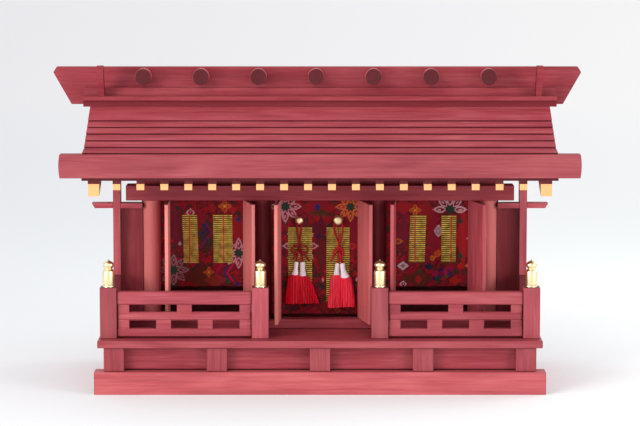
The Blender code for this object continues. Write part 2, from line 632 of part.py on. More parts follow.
def tassel_skirt(name, hand, place, finish):
    """One head and skirt of a pair, leaning outwards and flattened front to back."""
    stud_x, skirt_x, bottom, width = place
    spread_reach = TASSEL_SPREAD_SHARE * width
    skirt_radius = width / 2 - spread_reach
    shape = bmesh.new()
    rings = []
    for spread, radius, height in TASSEL_PROFILE:
        middle = skirt_x + (stud_x - skirt_x) * height + hand * spread * spread_reach
        ring = []
        for number in range(TASSEL_SEGMENTS):
            angle = math.tau * number / TASSEL_SEGMENTS
            ring.append(shape.verts.new((
                middle + radius * skirt_radius * math.cos(angle),
                TASSEL_Y + radius * TASSEL_DEPTH / 2 * math.sin(angle),
                bottom + height * TASSEL_HEIGHT,
            )))
        rings.append(ring)
    shape.faces.new(rings[0])
    shape.faces.new(rings[-1])
    for upper, lower in zip(rings, rings[1:]):
        for number in range(TASSEL_SEGMENTS):
            after = (number + 1) % TASSEL_SEGMENTS
            shape.faces.new((upper[number], upper[after], lower[after], lower[number]))
    return add_object(name, mesh_of(name, shape), finish)


def make_tassels(brass, silk):
    """The two studs, the cords that hang from them and the paired tassels below."""
    stud_z = LINTEL_BOTTOM - STUD_BELOW_LINTEL
    dome = []
    for number in range(1, 6):
        angle = math.pi / 2 * number / 5
        dome.append((STUD_RADIUS * math.sin(angle), STUD_HEIGHT * math.cos(angle)))
    dome.append((STUD_RADIUS, -STUD_HEIGHT / 5))
    for name, place in TASSEL_PLACES.items():
        stud_x, _, bottom, _ = place
        facing = Matrix.Translation((stud_x, CLOTH_FRONT - GAP - STUD_HEIGHT / 5, stud_z))
        turned(f"stud_{name}", dome, STUD_SEGMENTS, brass, facing @ Matrix.Rotation(math.pi / 2, 4, "X"))
        inner = tassel_skirt(f"tassel_{name}", -1, place, silk)
        combine(inner, [tassel_skirt(f"tassel_{name}_second", 1, place, silk)], "UNION")
        top, low = stud_z - STUD_RADIUS - GAP, bottom + TASSEL_HEIGHT + GAP
        make_cord(f"tassel_cord_{name}", stud_x, top, low, silk)


def make_cord(name, x, top, low, finish):
    """A hanging cord from a stud down to its tassels."""
    curve = bpy.data.curves.new(name, "CURVE")
    curve.dimensions = "3D"
    curve.bevel_depth = TASSEL_CORD_RADIUS
    curve.bevel_resolution = 2
    curve.use_fill_caps = True
    spline = curve.splines.new("POLY")
    spline.points.add(TASSEL_CORD_POINTS - 1)
    for number, point in enumerate(spline.points):
        share = number / (TASSEL_CORD_POINTS - 1)
        point.co = (x, TASSEL_Y, top + (low - top) * share, 1.0)
    curve.materials.append(finish)
    bpy.context.scene.collection.objects.link(bpy.data.objects.new(name, curve))


def eave_outline(half_width):
    """An eave board across Y: straight edges with shallow rounded ends."""
    middle = EAVE_BOTTOM + EAVE_BOARD_HEIGHT / 2
    outline = []
    for side in (1, -1):
        for number in range(END_ARC_POINTS):
            share = 2 * number / (END_ARC_POINTS - 1) - 1
            x = half_width - EAVE_BOARD_BULGE * share**2
            outline.append((side * x, middle + side * share * EAVE_BOARD_HEIGHT / 2))
    return outline


def step(distance, low, start):
    """One step's edge across X: the groove from its start, then the lip above the groove."""
    lip = low + GROOVE_HEIGHT
    return [
        (start, low), (distance - GROOVE_DEPTH, low), (distance - GROOVE_DEPTH, lip),
        (distance, lip), (distance, low + STEP_RISE),
    ]


def roof_board_outline(facing):
    """The stepped roof board across X, from over the eave board up to the ridge."""
    foot = EAVE_BOARD_BACK - GAP
    deck = [roof_line(DECK_TOP_AT_END, distance) + GAP for distance in (foot, GAP / 2)]
    outline = [(foot, deck[0])] + step(ROOF_HALF_DEPTH - ROOF_BOARD_SETBACK, EAVE_TOP + GAP, foot)
    for number in range(1, STEP_COUNT + 1):
        distance = EAVE_BOARD_BACK - number * STEP_RUN
        outline += step(distance, roof_surface(distance) - STEP_RISE / 2, distance)
    face = RIDGE_FACE + GAP
    outline += [
        (face, roof_surface(face)), (face, RIDGE_BOARD_FOOT - GAP),
        (GAP / 2, RIDGE_BOARD_FOOT - GAP), (GAP / 2, deck[1]),
    ]
    return [(facing * y, z) for y, z in outline]


def rafter(name, facing, x, width, height, finish):
    """One rafter as a helper: it enters the deck a little, and its ends are cut upright."""
    bottom = DECK_BOTTOM_AT_END - height
    lift = DECK_THICKNESS / 2
    outline = [
        (RAFTER_END, bottom), (RAFTER_END, DECK_BOTTOM_AT_END + lift),
        (GAP / 2, roof_line(DECK_BOTTOM_AT_END, GAP / 2) + lift), (GAP / 2, roof_line(bottom, GAP / 2)),
    ]
    outline = [(facing * y, z) for y, z in outline]
    return prism(name, outline, "X", x - width / 2, x + width / 2, finish)


def make_roof(wood):
    """Each slope's deck with its rafters, the stepped board on it and the eave board."""
    for name, facing in SLOPES.items():
        ends = (RAFTER_END, GAP / 2)
        lower = [(facing * y, roof_line(DECK_BOTTOM_AT_END, y)) for y in ends]
        upper = [(facing * y, roof_line(DECK_TOP_AT_END, y)) for y in ends]
        deck = prism(
            f"rafter_deck_{name}", lower + upper[::-1], "X", -ROOF_HALF_WIDTH, ROOF_HALF_WIDTH, wood,
        )
        pitch = 2 * OUTER_RAFTER_X / (RAFTER_COUNT - 1)
        rafters = [
            rafter(
                f"rafter_{name}_{number + 1}", facing, number * pitch - OUTER_RAFTER_X,
                RAFTER_WIDTH, RAFTER_HEIGHT, wood,
            )
            for number in range(RAFTER_COUNT)
        ]
        rafters += [
            rafter(
                f"barge_rafter_{name}_{hand}", facing, side * BARGE_RAFTER_X,
                BARGE_RAFTER_WIDTH, BARGE_RAFTER_HEIGHT, wood,
            )
            for hand, side in SIDES.items()
        ]
        combine(deck, rafters, "UNION")
        prism(
            f"roof_board_{name}", roof_board_outline(facing), "X",
            -ROOF_BOARD_HALF_WIDTH, ROOF_BOARD_HALF_WIDTH, wood,
        )
        y = span(facing, EAVE_BOARD_BACK, ROOF_HALF_DEPTH)
        outline = eave_outline(EAVE_BOARD_HALF_WIDTH if name == "front" else ROOF_BOARD_HALF_WIDTH)
        ease_edges(prism(f"eave_board_{name}", outline, "Y", y[0], y[1], wood))


def make_ridge(wood):
    """The ridge board with the logs laid through it, and the moulded covers that carry the chigi."""
    tip = RIDGE_BOARD_TOP - RIDGE_BOARD_TIP_DROP
    half = [
        (RIDGE_BOARD_FOOT_HALF_WIDTH, RIDGE_BOARD_FOOT), (RIDGE_BOARD_TIP_HALF_WIDTH, tip),
        (RIDGE_BOARD_TOP_HALF_WIDTH, RIDGE_BOARD_TOP),
    ]
    outline = half + [(-x, z) for x, z in reversed(half)]
    outline = [(x + RIDGE_BOARD_SHIFT, z) for x, z in outline]
    ridge = prism("ridge_board", outline, "Y", -RIDGE_FACE, RIDGE_FACE, wood)
    front, back = RIDGE_FACE + LOG_FRONT_REACH, -RIDGE_FACE - LOG_BACK_REACH
    log_profile = [
        (LOG_RADIUS - LOG_CHAMFER, front), (LOG_RADIUS, front - LOG_CHAMFER),
        (LOG_RADIUS, back + LOG_CHAMFER), (LOG_RADIUS - LOG_CHAMFER, back),
    ]
    logs = []
    for number in range(LOG_COUNT):
        x = (number - (LOG_COUNT - 1) / 2) * LOG_SPACING + LOG_ROW_SHIFT
        place = Matrix.Translation((x, 0.0, RIDGE_BOARD_TOP - LOG_DROP - LOG_RADIUS))
        lying = place @ Matrix.Rotation(math.pi / 2, 4, "X")
        logs.append(turned(f"ridge_log_{number + 1}", log_profile, LOG_SEGMENTS, wood, lying))
    combine(ridge, logs, "UNION")
    for name, facing in SLOPES.items():
        make_cover(name, facing, wood)


def make_cover(name, facing, wood):
    """One side's ridge cover across X: fascia, ledge and beam, with a chigi arm near each end."""
    near, face = RIDGE_FACE + GAP, RIDGE_FACE + COVER_DEPTH
    beam = RIDGE_FACE + COVER_BEAM_DEPTH
    ledge = face + LEDGE_OVERHANG
    outline = [
        (near, roof_surface(near) + 2 * GAP), (face, roof_surface(face) + 2 * GAP),
        (face, LEDGE_BOTTOM), (ledge, LEDGE_BOTTOM), (ledge, LEDGE_TOP), (beam, LEDGE_TOP),
        (beam, LEDGE_TOP + COVER_BEAM_HEIGHT), (near, LEDGE_TOP + COVER_BEAM_HEIGHT),
    ]
    cover = prism(
        f"ridge_cover_{name}", [(facing * y, z) for y, z in outline], "X",
        -COVER_HALF_WIDTH, COVER_HALF_WIDTH, wood,
    )
    foot, top = LEDGE_TOP - CHIGI_SINK, RIDGE_BOARD_TOP + CHIGI_ABOVE_RIDGE[name]
    arm = [
        (beam, foot), (beam + CHIGI_WIDTH, foot),
        (beam + CHIGI_WIDTH + CHIGI_LEAN, top), (beam + CHIGI_LEAN, top),
    ]
    arms = [
        prism(
            f"chigi_{name}_{hand}", [(facing * y, z) for y, z in arm], "X",
            side * CHIGI_X - CHIGI_THICKNESS / 2, side * CHIGI_X + CHIGI_THICKNESS / 2, wood,
        )
        for hand, side in SIDES.items()
    ]
    combine(cover, arms, "UNION")


def main():
    for old in list(bpy.data.objects):
        bpy.data.objects.remove(old, do_unlink=True)
    wood = material("red_stained_wood", 0xB9555A, 0.55)
    brass = material("polished_brass", 0xE8C878, 0.20, metallic=1.0)
    cloth = material("red_brocade", 0x8E1A22, 0.85)
    silk = material("red_silk", 0xC4101E, 0.70)
    make_base(wood)
    for number, x in enumerate((-OUTER_POST_X, -INNER_POST_X, INNER_POST_X, OUTER_POST_X), start=1):
        make_post(number, x, wood, brass)
    for name, side in SIDES.items():
        make_railing(name, side, wood)
    make_front(wood)
    make_body(wood)
    make_screens(wood)
    make_doors(wood)
    make_cloths(cloth)
    make_tassels(brass, silk)
    make_roof(wood)
    make_ridge(wood)


main()
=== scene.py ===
"""Dresses the three-bay household shrine shelf: stained wood, brass, brocade curtains and tassels.

Metres, +Z up, front towards -Y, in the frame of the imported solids. Laid out as an add-on: the sizes
and colours are properties, and each group of pieces has an operator.
"""
import math

import bmesh
import bpy
import numpy as np
from mathutils import Matrix, Vector


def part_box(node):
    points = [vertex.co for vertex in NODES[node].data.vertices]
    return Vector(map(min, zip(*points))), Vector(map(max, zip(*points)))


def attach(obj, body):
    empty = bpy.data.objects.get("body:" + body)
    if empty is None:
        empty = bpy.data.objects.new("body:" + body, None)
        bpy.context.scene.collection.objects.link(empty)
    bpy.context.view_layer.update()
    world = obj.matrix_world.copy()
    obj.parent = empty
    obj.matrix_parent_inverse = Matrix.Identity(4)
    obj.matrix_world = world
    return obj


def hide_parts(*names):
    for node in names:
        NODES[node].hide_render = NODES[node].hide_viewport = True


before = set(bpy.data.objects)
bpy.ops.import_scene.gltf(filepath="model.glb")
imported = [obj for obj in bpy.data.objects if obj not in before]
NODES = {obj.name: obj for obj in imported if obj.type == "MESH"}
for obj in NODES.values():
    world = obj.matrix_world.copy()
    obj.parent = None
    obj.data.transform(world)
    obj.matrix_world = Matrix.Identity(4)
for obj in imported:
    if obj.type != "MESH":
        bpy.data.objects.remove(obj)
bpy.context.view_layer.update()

bl_info = {
    "name": "Household Shrine Shelf",
    "version": (1, 0, 0),
    "blender": (4, 5, 0),
    "location": "3D View > Sidebar > Shrine Shelf",
    "description": "Dresses a three-bay household shrine shelf and lights it",
    "category": "Object",
}

SHRINE = "shrine"
SIDES = ("left", "right")
ROWS = ("front", "back")
MM = 0.001


# Node trees

def join(node, **links):
    """Links or fills a node's inputs by name or by number.

    A socket is linked, and so is a node, by its first output. Anything else is a value. In a name an
    underscore stands for a space, and n0, n1 and so on are input numbers.
    """
    for name, value in links.items():
        if isinstance(value, bpy.types.Node):
            value = value.outputs[0]
        by_number = name[0] == "n" and name[1:].isdigit()
        socket = node.inputs[int(name[1:])] if by_number else node.inputs[name.replace("_", " ")]
        if isinstance(value, bpy.types.NodeSocket):
            node.id_data.links.new(value, socket)
        else:
            socket.default_value = value


def add(tree, kind, settings=None, **links):
    """Adds a node, sets its properties and joins its inputs. A plain string sets its operation."""
    node = tree.nodes.new(kind)
    if isinstance(settings, str):
        settings = {"operation": settings}
    for name, value in (settings or {}).items():
        setattr(node, name, value)
    join(node, **links)
    return node


def linear(channel):
    """One sRGB channel, 0 to 1, as linear light."""
    return channel / 12.92 if channel <= 0.04045 else ((channel + 0.055) / 1.055) ** 2.4


def hex_colour(code):
    """A hex sRGB colour as linear RGBA."""
    return (*(linear((code >> shift & 255) / 255) for shift in (16, 8, 0)), 1.0)


def surface(name, **values):
    """A material with one Principled shader, its tree, and the outputs of its texture coordinates."""
    made = bpy.data.materials.new(name)
    made.use_nodes = True
    tree = made.node_tree
    tree.nodes.clear()
    shader = add(tree, "ShaderNodeBsdfPrincipled", **values)
    add(tree, "ShaderNodeOutputMaterial", Surface=shader)
    return made, tree, shader, add(tree, "ShaderNodeTexCoord").outputs


def join_shader(shader, colour, pattern, rough, relief, strength, depth, span=(0.0, 1.0)):
    """Joins a shader to its colour, to a roughness that follows a pattern, and to a relief.

    Over the pattern's span the roughness goes from the first of two values to the second. Strength and
    depth are those of the relief.
    """
    tree = shader.id_data
    dull = add(
        tree, "ShaderNodeMapRange", Value=pattern, From_Min=span[0], From_Max=span[1], To_Min=rough[0],
        To_Max=rough[1],
    )
    bump = add(tree, "ShaderNodeBump", Strength=strength, Distance=depth, Height=relief)
    join(shader, Base_Color=colour, Roughness=dull, Normal=bump)


# Materials. A Mix node's inputs 0, 6 and 7 are its share and the two colours.

COLOURS = {"data_type": "RGBA"}
BANDS_PER_METRE = 20 / math.tau         # of a wave texture whose scale is 1
GRAIN_TURNS = {"X": (0, 0, 0), "Y": (0, 0, -math.pi / 2), "Z": (0, math.pi / 2, 0)}
GRAIN_STEP = (0.31, 0.17, 0.23)         # metres from one board's pattern to the next
HAIR_SIZE = (30 * MM, 0.7 * MM)         # length and width of a hair line in the wood
PATCH_SIZE = (110 * MM, 22 * MM)        # length and width of a patch of uneven stain
LEDGE_SHADE_EDGE = 0.5 * MM                     # how soft the top of the painted shade under a ledge is


def stained_wood(board, along, shift, coat=0.0, run=None, wax=1.0, pooled=0.0, ends=0.8, outer=None):
    """Hinoki cypress, planed, wiped with a wine-red stain and waxed.

    The stain sinks into the soft early wood and leaves the late wood lines lighter, so long streaks
    3 mm apart and hair lines under 1 mm run along the grain. It takes unevenly too, in soft patches a
    few centimetres long. Where a board is cut across, it drinks more stain and turns dark and dull.

    Along is the grain's axis, and shift numbers the board's place in the pattern. A coat over 0 darkens
    a whole board, as a second wiping does, and one under 0 leaves it paler. On some boards the coat is
    painted shade where it darkens and painted light where it pales. Ledge shade is a height with the
    share of deep stain under it: painted shade below a ledge. Wax is the wax's thickness, and over 1 it
    reflects more white. Groove shade is the share of deep stain painted as shade in the grooves of a
    sloping board, on the faces that stand upright or lie flat. Ends is the share of end grain colour on
    a cut end. Outer is the side, 1 or -1 along X, that a door leaf's outer face looks to while the door
    is open, with the share of that face's own coat; the inner face and edges take the coat as painted
    light and shade.
    """
    wood = bpy.context.scene.shrine_wood
    made, tree, shader, place = surface(
        f"Stained hinoki, {board}", IOR=1.48, Specular_IOR_Level=wax * wood.sheen,
    )
    grain = add(
        tree, "ShaderNodeMapping", Vector=place["Object"], Rotation=GRAIN_TURNS[along],
        Location=[step * shift for step in GRAIN_STEP],
    )
    patterns = []
    for (length, width), detail, rough, bent in (
        ((wood.streak_length, wood.ring_spacing), 3.0, 0.55, 0.9),
        (HAIR_SIZE, 2.0, 0.6, 0.3),
        (PATCH_SIZE, 2.0, 0.5, 0.5),
    ):
        drawn = add(tree, "ShaderNodeMapping", Vector=grain, Scale=(1 / length, 1 / width, 1 / width))
        patterns.append(add(
            tree, "ShaderNodeTexNoise", Vector=drawn, Scale=1.0, Detail=detail, Roughness=rough,
            Distortion=bent,
        ))
    streaks, hairs, patches = patterns
    pale, deep, bare_and_painted_light = hex_colour(wood.late_wood), hex_colour(wood.deep_stain_and_shade), hex_colour(wood.bare_and_painted_light)
    flatness = add(tree, "ShaderNodeVectorMath", "ABSOLUTE", n0=place["Normal"])
    faces = add(tree, "ShaderNodeSeparateXYZ", Vector=flatness).outputs

    # Each layer over the stain: a pattern, where it starts and is full, the shares there, the colour.
    layers = [
        (streaks, 0.34, 0.68, 0.0, 1.0, pale), (patches, 0.50, 0.72, 0.0, 0.34, deep),
        (patches, 0.50, 0.28, 0.0, 0.14, bare_and_painted_light), (hairs, 0.45, 0.75, 0.0, 0.22, deep),
    ]
    # A whole board's coat: a real second wiping on some boards; on others painted shade where it darkens
    # and painted light where it pales.
    whole_board_tone = deep if coat > 0 else bare_and_painted_light
    # On a door leaf the inner face and edges take the coat as painted light and shade, and the outer face
    # takes a share of its own.
    if outer:
        side, outer_share = outer
        across = add(tree, "ShaderNodeSeparateXYZ", Vector=place["Normal"]).outputs["X"]
        layers.append((across, 0.90 * side, 0.95 * side, abs(coat), outer_share, whole_board_tone))
    elif coat:
        layers.append((None, 0.0, 1.0, 0.0, abs(coat), whole_board_tone))
    # Painted shade: deep stain laid under a ledge's height.
    if run:
        ledge, share = run
        height = add(tree, "ShaderNodeSeparateXYZ", Vector=place["Object"]).outputs["Z"]
        layers.append((height, ledge, ledge - LEDGE_SHADE_EDGE, 0.0, share, deep))
    # Painted shade: deep stain laid in the grooves, on the faces that stand upright or lie flat.
    if pooled:
        square = add(tree, "ShaderNodeMath", "MAXIMUM", n0=faces["Y"], n1=faces["Z"])
        layers.append((square, 0.9985, 0.9998, 0.0, pooled, deep))
    layers.append((faces[along], 0.55, 0.95, 0.0, ends, hex_colour(wood.end_grain)))

    colour = hex_colour(wood.stain)
    for pattern, start, full, least, most, over in layers:
        share = most
        if pattern is not None:
            share = add(
                tree, "ShaderNodeMapRange", Value=pattern, From_Min=start, From_Max=full, To_Min=least,
                To_Max=most,
            )
        colour = add(tree, "ShaderNodeMix", COLOURS, n0=share, n6=colour, n7=over).outputs[2]
    relief = add(tree, "ShaderNodeMath", "MULTIPLY_ADD", n0=hairs, n1=0.6, n2=streaks)
    rough = (wood.gloss - 0.05, wood.gloss + 0.12)
    join_shader(shader, colour, hairs, rough, relief, strength=0.25, depth=0.06 * MM, span=(0.3, 0.7))
    return made


def polished_brass(name="Polished brass", dulled=0.0):
    """Spun brass, buffed and lacquered: warm, nearly a mirror, with faint turning lines round it.

    Dulled adds the roughness of brass that hands have worn.
    """
    metal = bpy.context.scene.shrine_metal
    made, tree, shader, place = surface(name, Metallic=1.0)
    drawn = add(tree, "ShaderNodeMapping", Vector=place["Object"], Scale=(60, 60, 2600))
    lines = add(tree, "ShaderNodeTexNoise", Vector=drawn, Scale=1.0, Detail=2.0)
    bright, shade = hex_colour(metal.brass), hex_colour(metal.brass_shade)
    tone = add(tree, "ShaderNodeMix", COLOURS, n0=lines, n6=bright, n7=shade).outputs[2]
    rough = (0.26 + dulled, 0.38 + dulled)
    join_shader(shader, tone, lines, rough, lines, strength=0.15, depth=0.04 * MM, span=(0.3, 0.7))
    return made


def gilt_plate():
    """Thin brass sheet, gilt and left matt: pale gold with soft hammer clouds a few millimetres wide."""
    metal = bpy.context.scene.shrine_metal
    made, tree, shader, place = surface("Gilt brass plate", Metallic=1.0)
    clouds = add(tree, "ShaderNodeTexNoise", Vector=place["Object"], Scale=420.0, Detail=3.0)
    bright, shade = hex_colour(metal.gilt), hex_colour(metal.gilt_shade)
    tone = add(tree, "ShaderNodeMix", COLOURS, n0=clouds, n6=bright, n7=shade).outputs[2]
    rough = (0.38, 0.52)
    join_shader(shader, tone, clouds, rough, clouds, strength=0.2, depth=0.1 * MM, span=(0.3, 0.7))
    return made


def woven_brocade():
    """Rayon brocade: floats of coloured weft on a red ground, drawn as threads 0.8 mm wide.

    The real threads are about 0.3 mm and would not show. The weft floats shine along their length.
    """
    made, tree, shader, place = surface("Woven rayon brocade", IOR=1.5, Specular_IOR_Level=0.15)
    dye = add(tree, "ShaderNodeAttribute", {"attribute_name": "weft_colour"}).outputs["Color"]
    weft, warp = (
        add(
            tree, "ShaderNodeTexWave", {"bands_direction": direction}, Vector=place["Object"],
            Scale=1 / pitch / BANDS_PER_METRE, Distortion=0.4, Detail=1.0, Detail_Scale=4.0,
        ).outputs["Fac"]
        for direction, pitch in (("Z", 0.8 * MM), ("X", 1.2 * MM))
    )
    cross = add(tree, "ShaderNodeMath", "MULTIPLY", n0=weft, n1=warp)
    shade = add(tree, "ShaderNodeMapRange", Value=cross, To_Min=0.85, To_Max=1.3)
    lit = add(tree, "ShaderNodeVectorMath", "SCALE", n0=dye, Scale=shade)
    join_shader(shader, lit, weft, (0.75, 0.55), cross, strength=0.6, depth=0.2 * MM)
    return made


def gold_thread(name, light, dark):
    """Gilt paper strip wound on a core for the curtain's bars: soft gold with a winding 1 mm apart."""
    made, tree, shader, place = surface(name, Metallic=0.55)
    turns = add(
        tree, "ShaderNodeTexWave", {"bands_direction": "X"}, Vector=place["Object"],
        Scale=1 / MM / BANDS_PER_METRE, Distortion=0.6,
    ).outputs["Fac"]
    patches = add(tree, "ShaderNodeTexNoise", Vector=place["Object"], Scale=160.0, Detail=2.0)
    wear = add(tree, "ShaderNodeMapRange", Value=patches, From_Min=0.35, From_Max=0.65)
    bright, shade = hex_colour(light), hex_colour(dark)
    tone = add(tree, "ShaderNodeMix", COLOURS, n0=wear, n6=bright, n7=shade).outputs[2]
    join_shader(shader, tone, turns, (0.35, 0.55), turns, strength=0.3, depth=0.1 * MM)
    return made


def silk_thread(name, light, dark, pitch, direction="DIAGONAL"):
    """Twisted rayon floss: glossy threads whose twist shows as slanting ribs, pitch metres apart."""
    made, tree, shader, place = surface(name, IOR=1.45, Specular_IOR_Level=0.25)
    twist = add(
        tree, "ShaderNodeTexWave", {"bands_direction": direction}, Vector=place["Object"],
        Scale=1 / pitch / BANDS_PER_METRE, Distortion=0.5, Detail=1.0,
    ).outputs["Fac"]
    drawn = add(tree, "ShaderNodeMapping", Vector=place["Object"], Scale=(900, 900, 60))
    fibres = add(tree, "ShaderNodeTexNoise", Vector=drawn, Scale=1.0, Detail=2.0)
    both = add(tree, "ShaderNodeMath", "MULTIPLY_ADD", n0=twist, n1=0.35, n2=fibres)
    share = add(tree, "ShaderNodeMapRange", Value=both, From_Min=0.40, From_Max=0.95)
    bright, shade = hex_colour(light), hex_colour(dark)
    tone = add(tree, "ShaderNodeMix", COLOURS, n0=share, n6=shade, n7=bright).outputs[2]
    join_shader(shader, tone, fibres, (0.38, 0.62), both, strength=0.5, depth=0.2 * MM)
    return made


def white_paper_sweep():
    """Matt white background paper, with painted shade: a little greyer near the shelf and towards its
    left.

    The left shade lies along a bearing from a point 3.1 m in front of the shelf.
    """
    stage = bpy.context.scene.shrine_stage
    made, tree, shader, place = surface("Matt white background paper", Roughness=0.9)
    reach = add(tree, "ShaderNodeSeparateXYZ", Vector=place["Object"]).outputs
    far = add(
        tree, "ShaderNodeMapRange", {"interpolation_type": "SMOOTHSTEP"}, Value=reach["Y"], From_Min=0.4,
        From_Max=5.0,
    )
    away = add(tree, "ShaderNodeMath", "ADD", n0=reach["Y"], n1=3.1)
    bearing = add(tree, "ShaderNodeMath", "DIVIDE", n0=reach["X"], n1=away)
    right = add(tree, "ShaderNodeMapRange", Value=bearing, From_Min=-0.12, From_Max=0.12)
    tone, shade = (
        add(tree, "ShaderNodeMix", COLOURS, n0=share, n6=hex_colour(near), n7=hex_colour(end)).outputs[2]
        for share, near, end in (
            (far, stage.floor, stage.distance), (right, stage.left_shade, 0xFFFFFF),
        )
    )
    settings = {**COLOURS, "blend_type": "MULTIPLY"}
    join(shader, Base_Color=add(tree, "ShaderNodeMix", settings, n0=1.0, n6=tone, n7=shade).outputs[2])
    return made


# Pieces

def dress(nodes, board, along, shift, **coats):
    """Finishes CAD boards in stained wood."""
    wood = stained_wood(board, along, shift, **coats)
    for node in nodes:
        NODES[node].data.materials.clear()
        NODES[node].data.materials.append(wood)


def new_piece(name, mesh, finish):
    """Puts a mesh in the scene as a piece of the shrine, with its finish and material slot."""
    piece = bpy.data.objects.new(name, mesh)
    bpy.context.scene.collection.objects.link(piece)
    mesh.materials.clear()
    mesh.materials.append(finish)
    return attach(piece, SHRINE)


def smooth_under(mesh, angle):
    """Shades a mesh smooth, apart from edges sharper than an angle in degrees."""
    mesh.shade_smooth()
    mesh.set_sharp_from_angle(angle=math.radians(angle))


def mesh_of(name, shape, smooth=None):
    """Ends a bmesh: doubles merged, faces outwards, smooth up to an angle in degrees."""
    bmesh.ops.remove_doubles(shape, verts=shape.verts, dist=1e-7)
    bmesh.ops.recalc_face_normals(shape, faces=shape.faces)
    mesh = bpy.data.meshes.new(name)
    shape.to_mesh(mesh)
    shape.free()
    if smooth:
        smooth_under(mesh, smooth)
    return mesh


def lathe(shape, profile, place, segments=48):
    """Adds a turned form to a bmesh: (radius, height) points from top to bottom, spun about Z."""
    points = [(0.0, profile[0][1]), *profile, (0.0, profile[-1][1])]
    verts = [shape.verts.new(place @ Vector((radius, 0.0, height))) for radius, height in points]
    edges = [shape.edges.new(pair) for pair in zip(verts, verts[1:])]
    bmesh.ops.spin(
        shape, geom=verts + edges, cent=place.translation, axis=place.col[2].xyz, angle=math.tau,
        steps=segments, use_merge=True,
    )


def tube(shape, points, radii, sides=12, depth=1.0):
    """Adds a closed tube along points to a bmesh.

    It takes a radius at each point, and its depth from front to back as a share of that.
    """
    rings = []
    turns = [math.tau * side / sides for side in range(sides)]
    for number, (point, radius) in enumerate(zip(points, radii)):
        ahead, behind = points[min(number + 1, len(points) - 1)], points[max(number - 1, 0)]
        along = (Vector(ahead) - Vector(behind)).normalized()
        across = along.cross(Vector((0.0, 1.0, 0.0))).normalized()
        back = along.cross(across) * depth
        rings.append([
            shape.verts.new(Vector(point) + radius * (math.cos(turn) * across + math.sin(turn) * back))
            for turn in turns
        ])
    for low, high in zip(rings, rings[1:]):
        for side in range(sides):
            after = (side + 1) % sides
            shape.faces.new((low[side], low[after], high[after], high[side]))
    shape.faces.new(rings[0])
    shape.faces.new(rings[-1])


def smooth_path(points, steps=6):
    """Points on a smooth curve through the given ones."""
    held = [np.array(point, float) for point in (points[0], *points, points[-1])]
    found = []
    for before, start, end, after in zip(held, held[1:], held[2:], held[3:]):
        for share in np.arange(steps) / steps:
            found.append(0.5 * (
                2 * start + (end - before) * share
                + (2 * before - 5 * start + 4 * end - after) * share**2
                + (3 * start - before - 3 * end + after) * share**3
            ))
    return [Vector(point) for point in (*found, held[-1])]


def geometry_tree(name, inputs):
    """An empty geometry tree with named inputs, its input sockets by name, and a call that ends it."""
    tree = bpy.data.node_groups.new(name, "GeometryNodeTree")
    tree.interface.new_socket("Geometry", in_out="INPUT", socket_type="NodeSocketGeometry")
    for label, (kind, default) in inputs.items():
        socket = tree.interface.new_socket(label, in_out="INPUT", socket_type=f"NodeSocket{kind}")
        if default is not None:
            socket.default_value = default
    tree.interface.new_socket("Finish", in_out="INPUT", socket_type="NodeSocketMaterial")
    tree.interface.new_socket("Geometry", in_out="OUTPUT", socket_type="NodeSocketGeometry")
    entry = tree.nodes.new("NodeGroupInput").outputs

    def end(result):
        real = add(tree, "GeometryNodeRealizeInstances", Geometry=result)
        done = add(tree, "GeometryNodeSetMaterial", Geometry=real, Material=entry["Finish"])
        add(tree, "NodeGroupOutput", Geometry=done)

    return tree, entry, end


def grow(name, tree, finish, slot, points=(), smooth=None, **values):
    """Runs a geometry tree, on points where it takes some, and keeps the result as a plain piece."""
    seed = bpy.data.meshes.new(name)
    seed.from_pydata([tuple(point) for point in points], [], [])
    source = bpy.data.objects.new(name + "_source", seed)
    bpy.context.scene.collection.objects.link(source)
    modifier = source.modifiers.new("growth", "NODES")
    modifier.node_group = tree
    values["Finish"] = finish
    for socket in tree.interface.items_tree:
        key = socket.name.replace(" ", "_")
        if socket.in_out == "INPUT" and key in values:
            modifier[socket.identifier] = values[key]
    bpy.context.view_layer.update()
    graph = bpy.context.evaluated_depsgraph_get()
    mesh = bpy.data.meshes.new_from_object(source.evaluated_get(graph))
    mesh.name = name
    bpy.data.objects.remove(source, do_unlink=True)
    if smooth:
        smooth_under(mesh, smooth)
    return new_piece(name, mesh, finish)


def rod_tree(name, turn):
    """A geometry tree for round rods, one on each point, turned from upright by three angles."""
    tree, entry, end = geometry_tree(name, {
        "Radius": ("Float", 10 * MM), "Length": ("Float", 100 * MM), "Segments": ("Int", 64),
    })
    rod = add(
        tree, "GeometryNodeMeshCylinder", Vertices=entry["Segments"], Radius=entry["Radius"],
        Depth=entry["Length"],
    )
    put = add(
        tree, "GeometryNodeInstanceOnPoints", Points=entry["Geometry"], Instance=rod,
        Rotation=turn,
    )
    end(put)
    return tree


def soften(piece, width, segments=2):
    """Rounds a piece's sharp edges."""
    bevel = piece.modifiers.new("rounded edges", "BEVEL")
    bevel.width = width
    bevel.segments = segments
    bevel.limit_method = "ANGLE"
    bevel.angle_limit = math.radians(40)
    bevel.harden_normals = True


def middle(node):
    """A CAD node's lowest corner, highest corner and middle."""
    low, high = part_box(node)
    return low, high, (low + high) / 2


# Properties

def hex_property(name, description, default):
    """A colour as an sRGB hex number."""
    return bpy.props.IntProperty(
        name=name, description=f"{description}, sRGB hex", default=default, min=0, max=0xFFFFFF,
    )


def length_property(name, description, millimetres):
    """A length."""
    return bpy.props.FloatProperty(
        name=name, description=description, default=millimetres * MM, unit="LENGTH",
    )


def power_property(name, description, watts):
    """A light's power."""
    return bpy.props.FloatProperty(name=name, description=description, default=watts, unit="POWER")


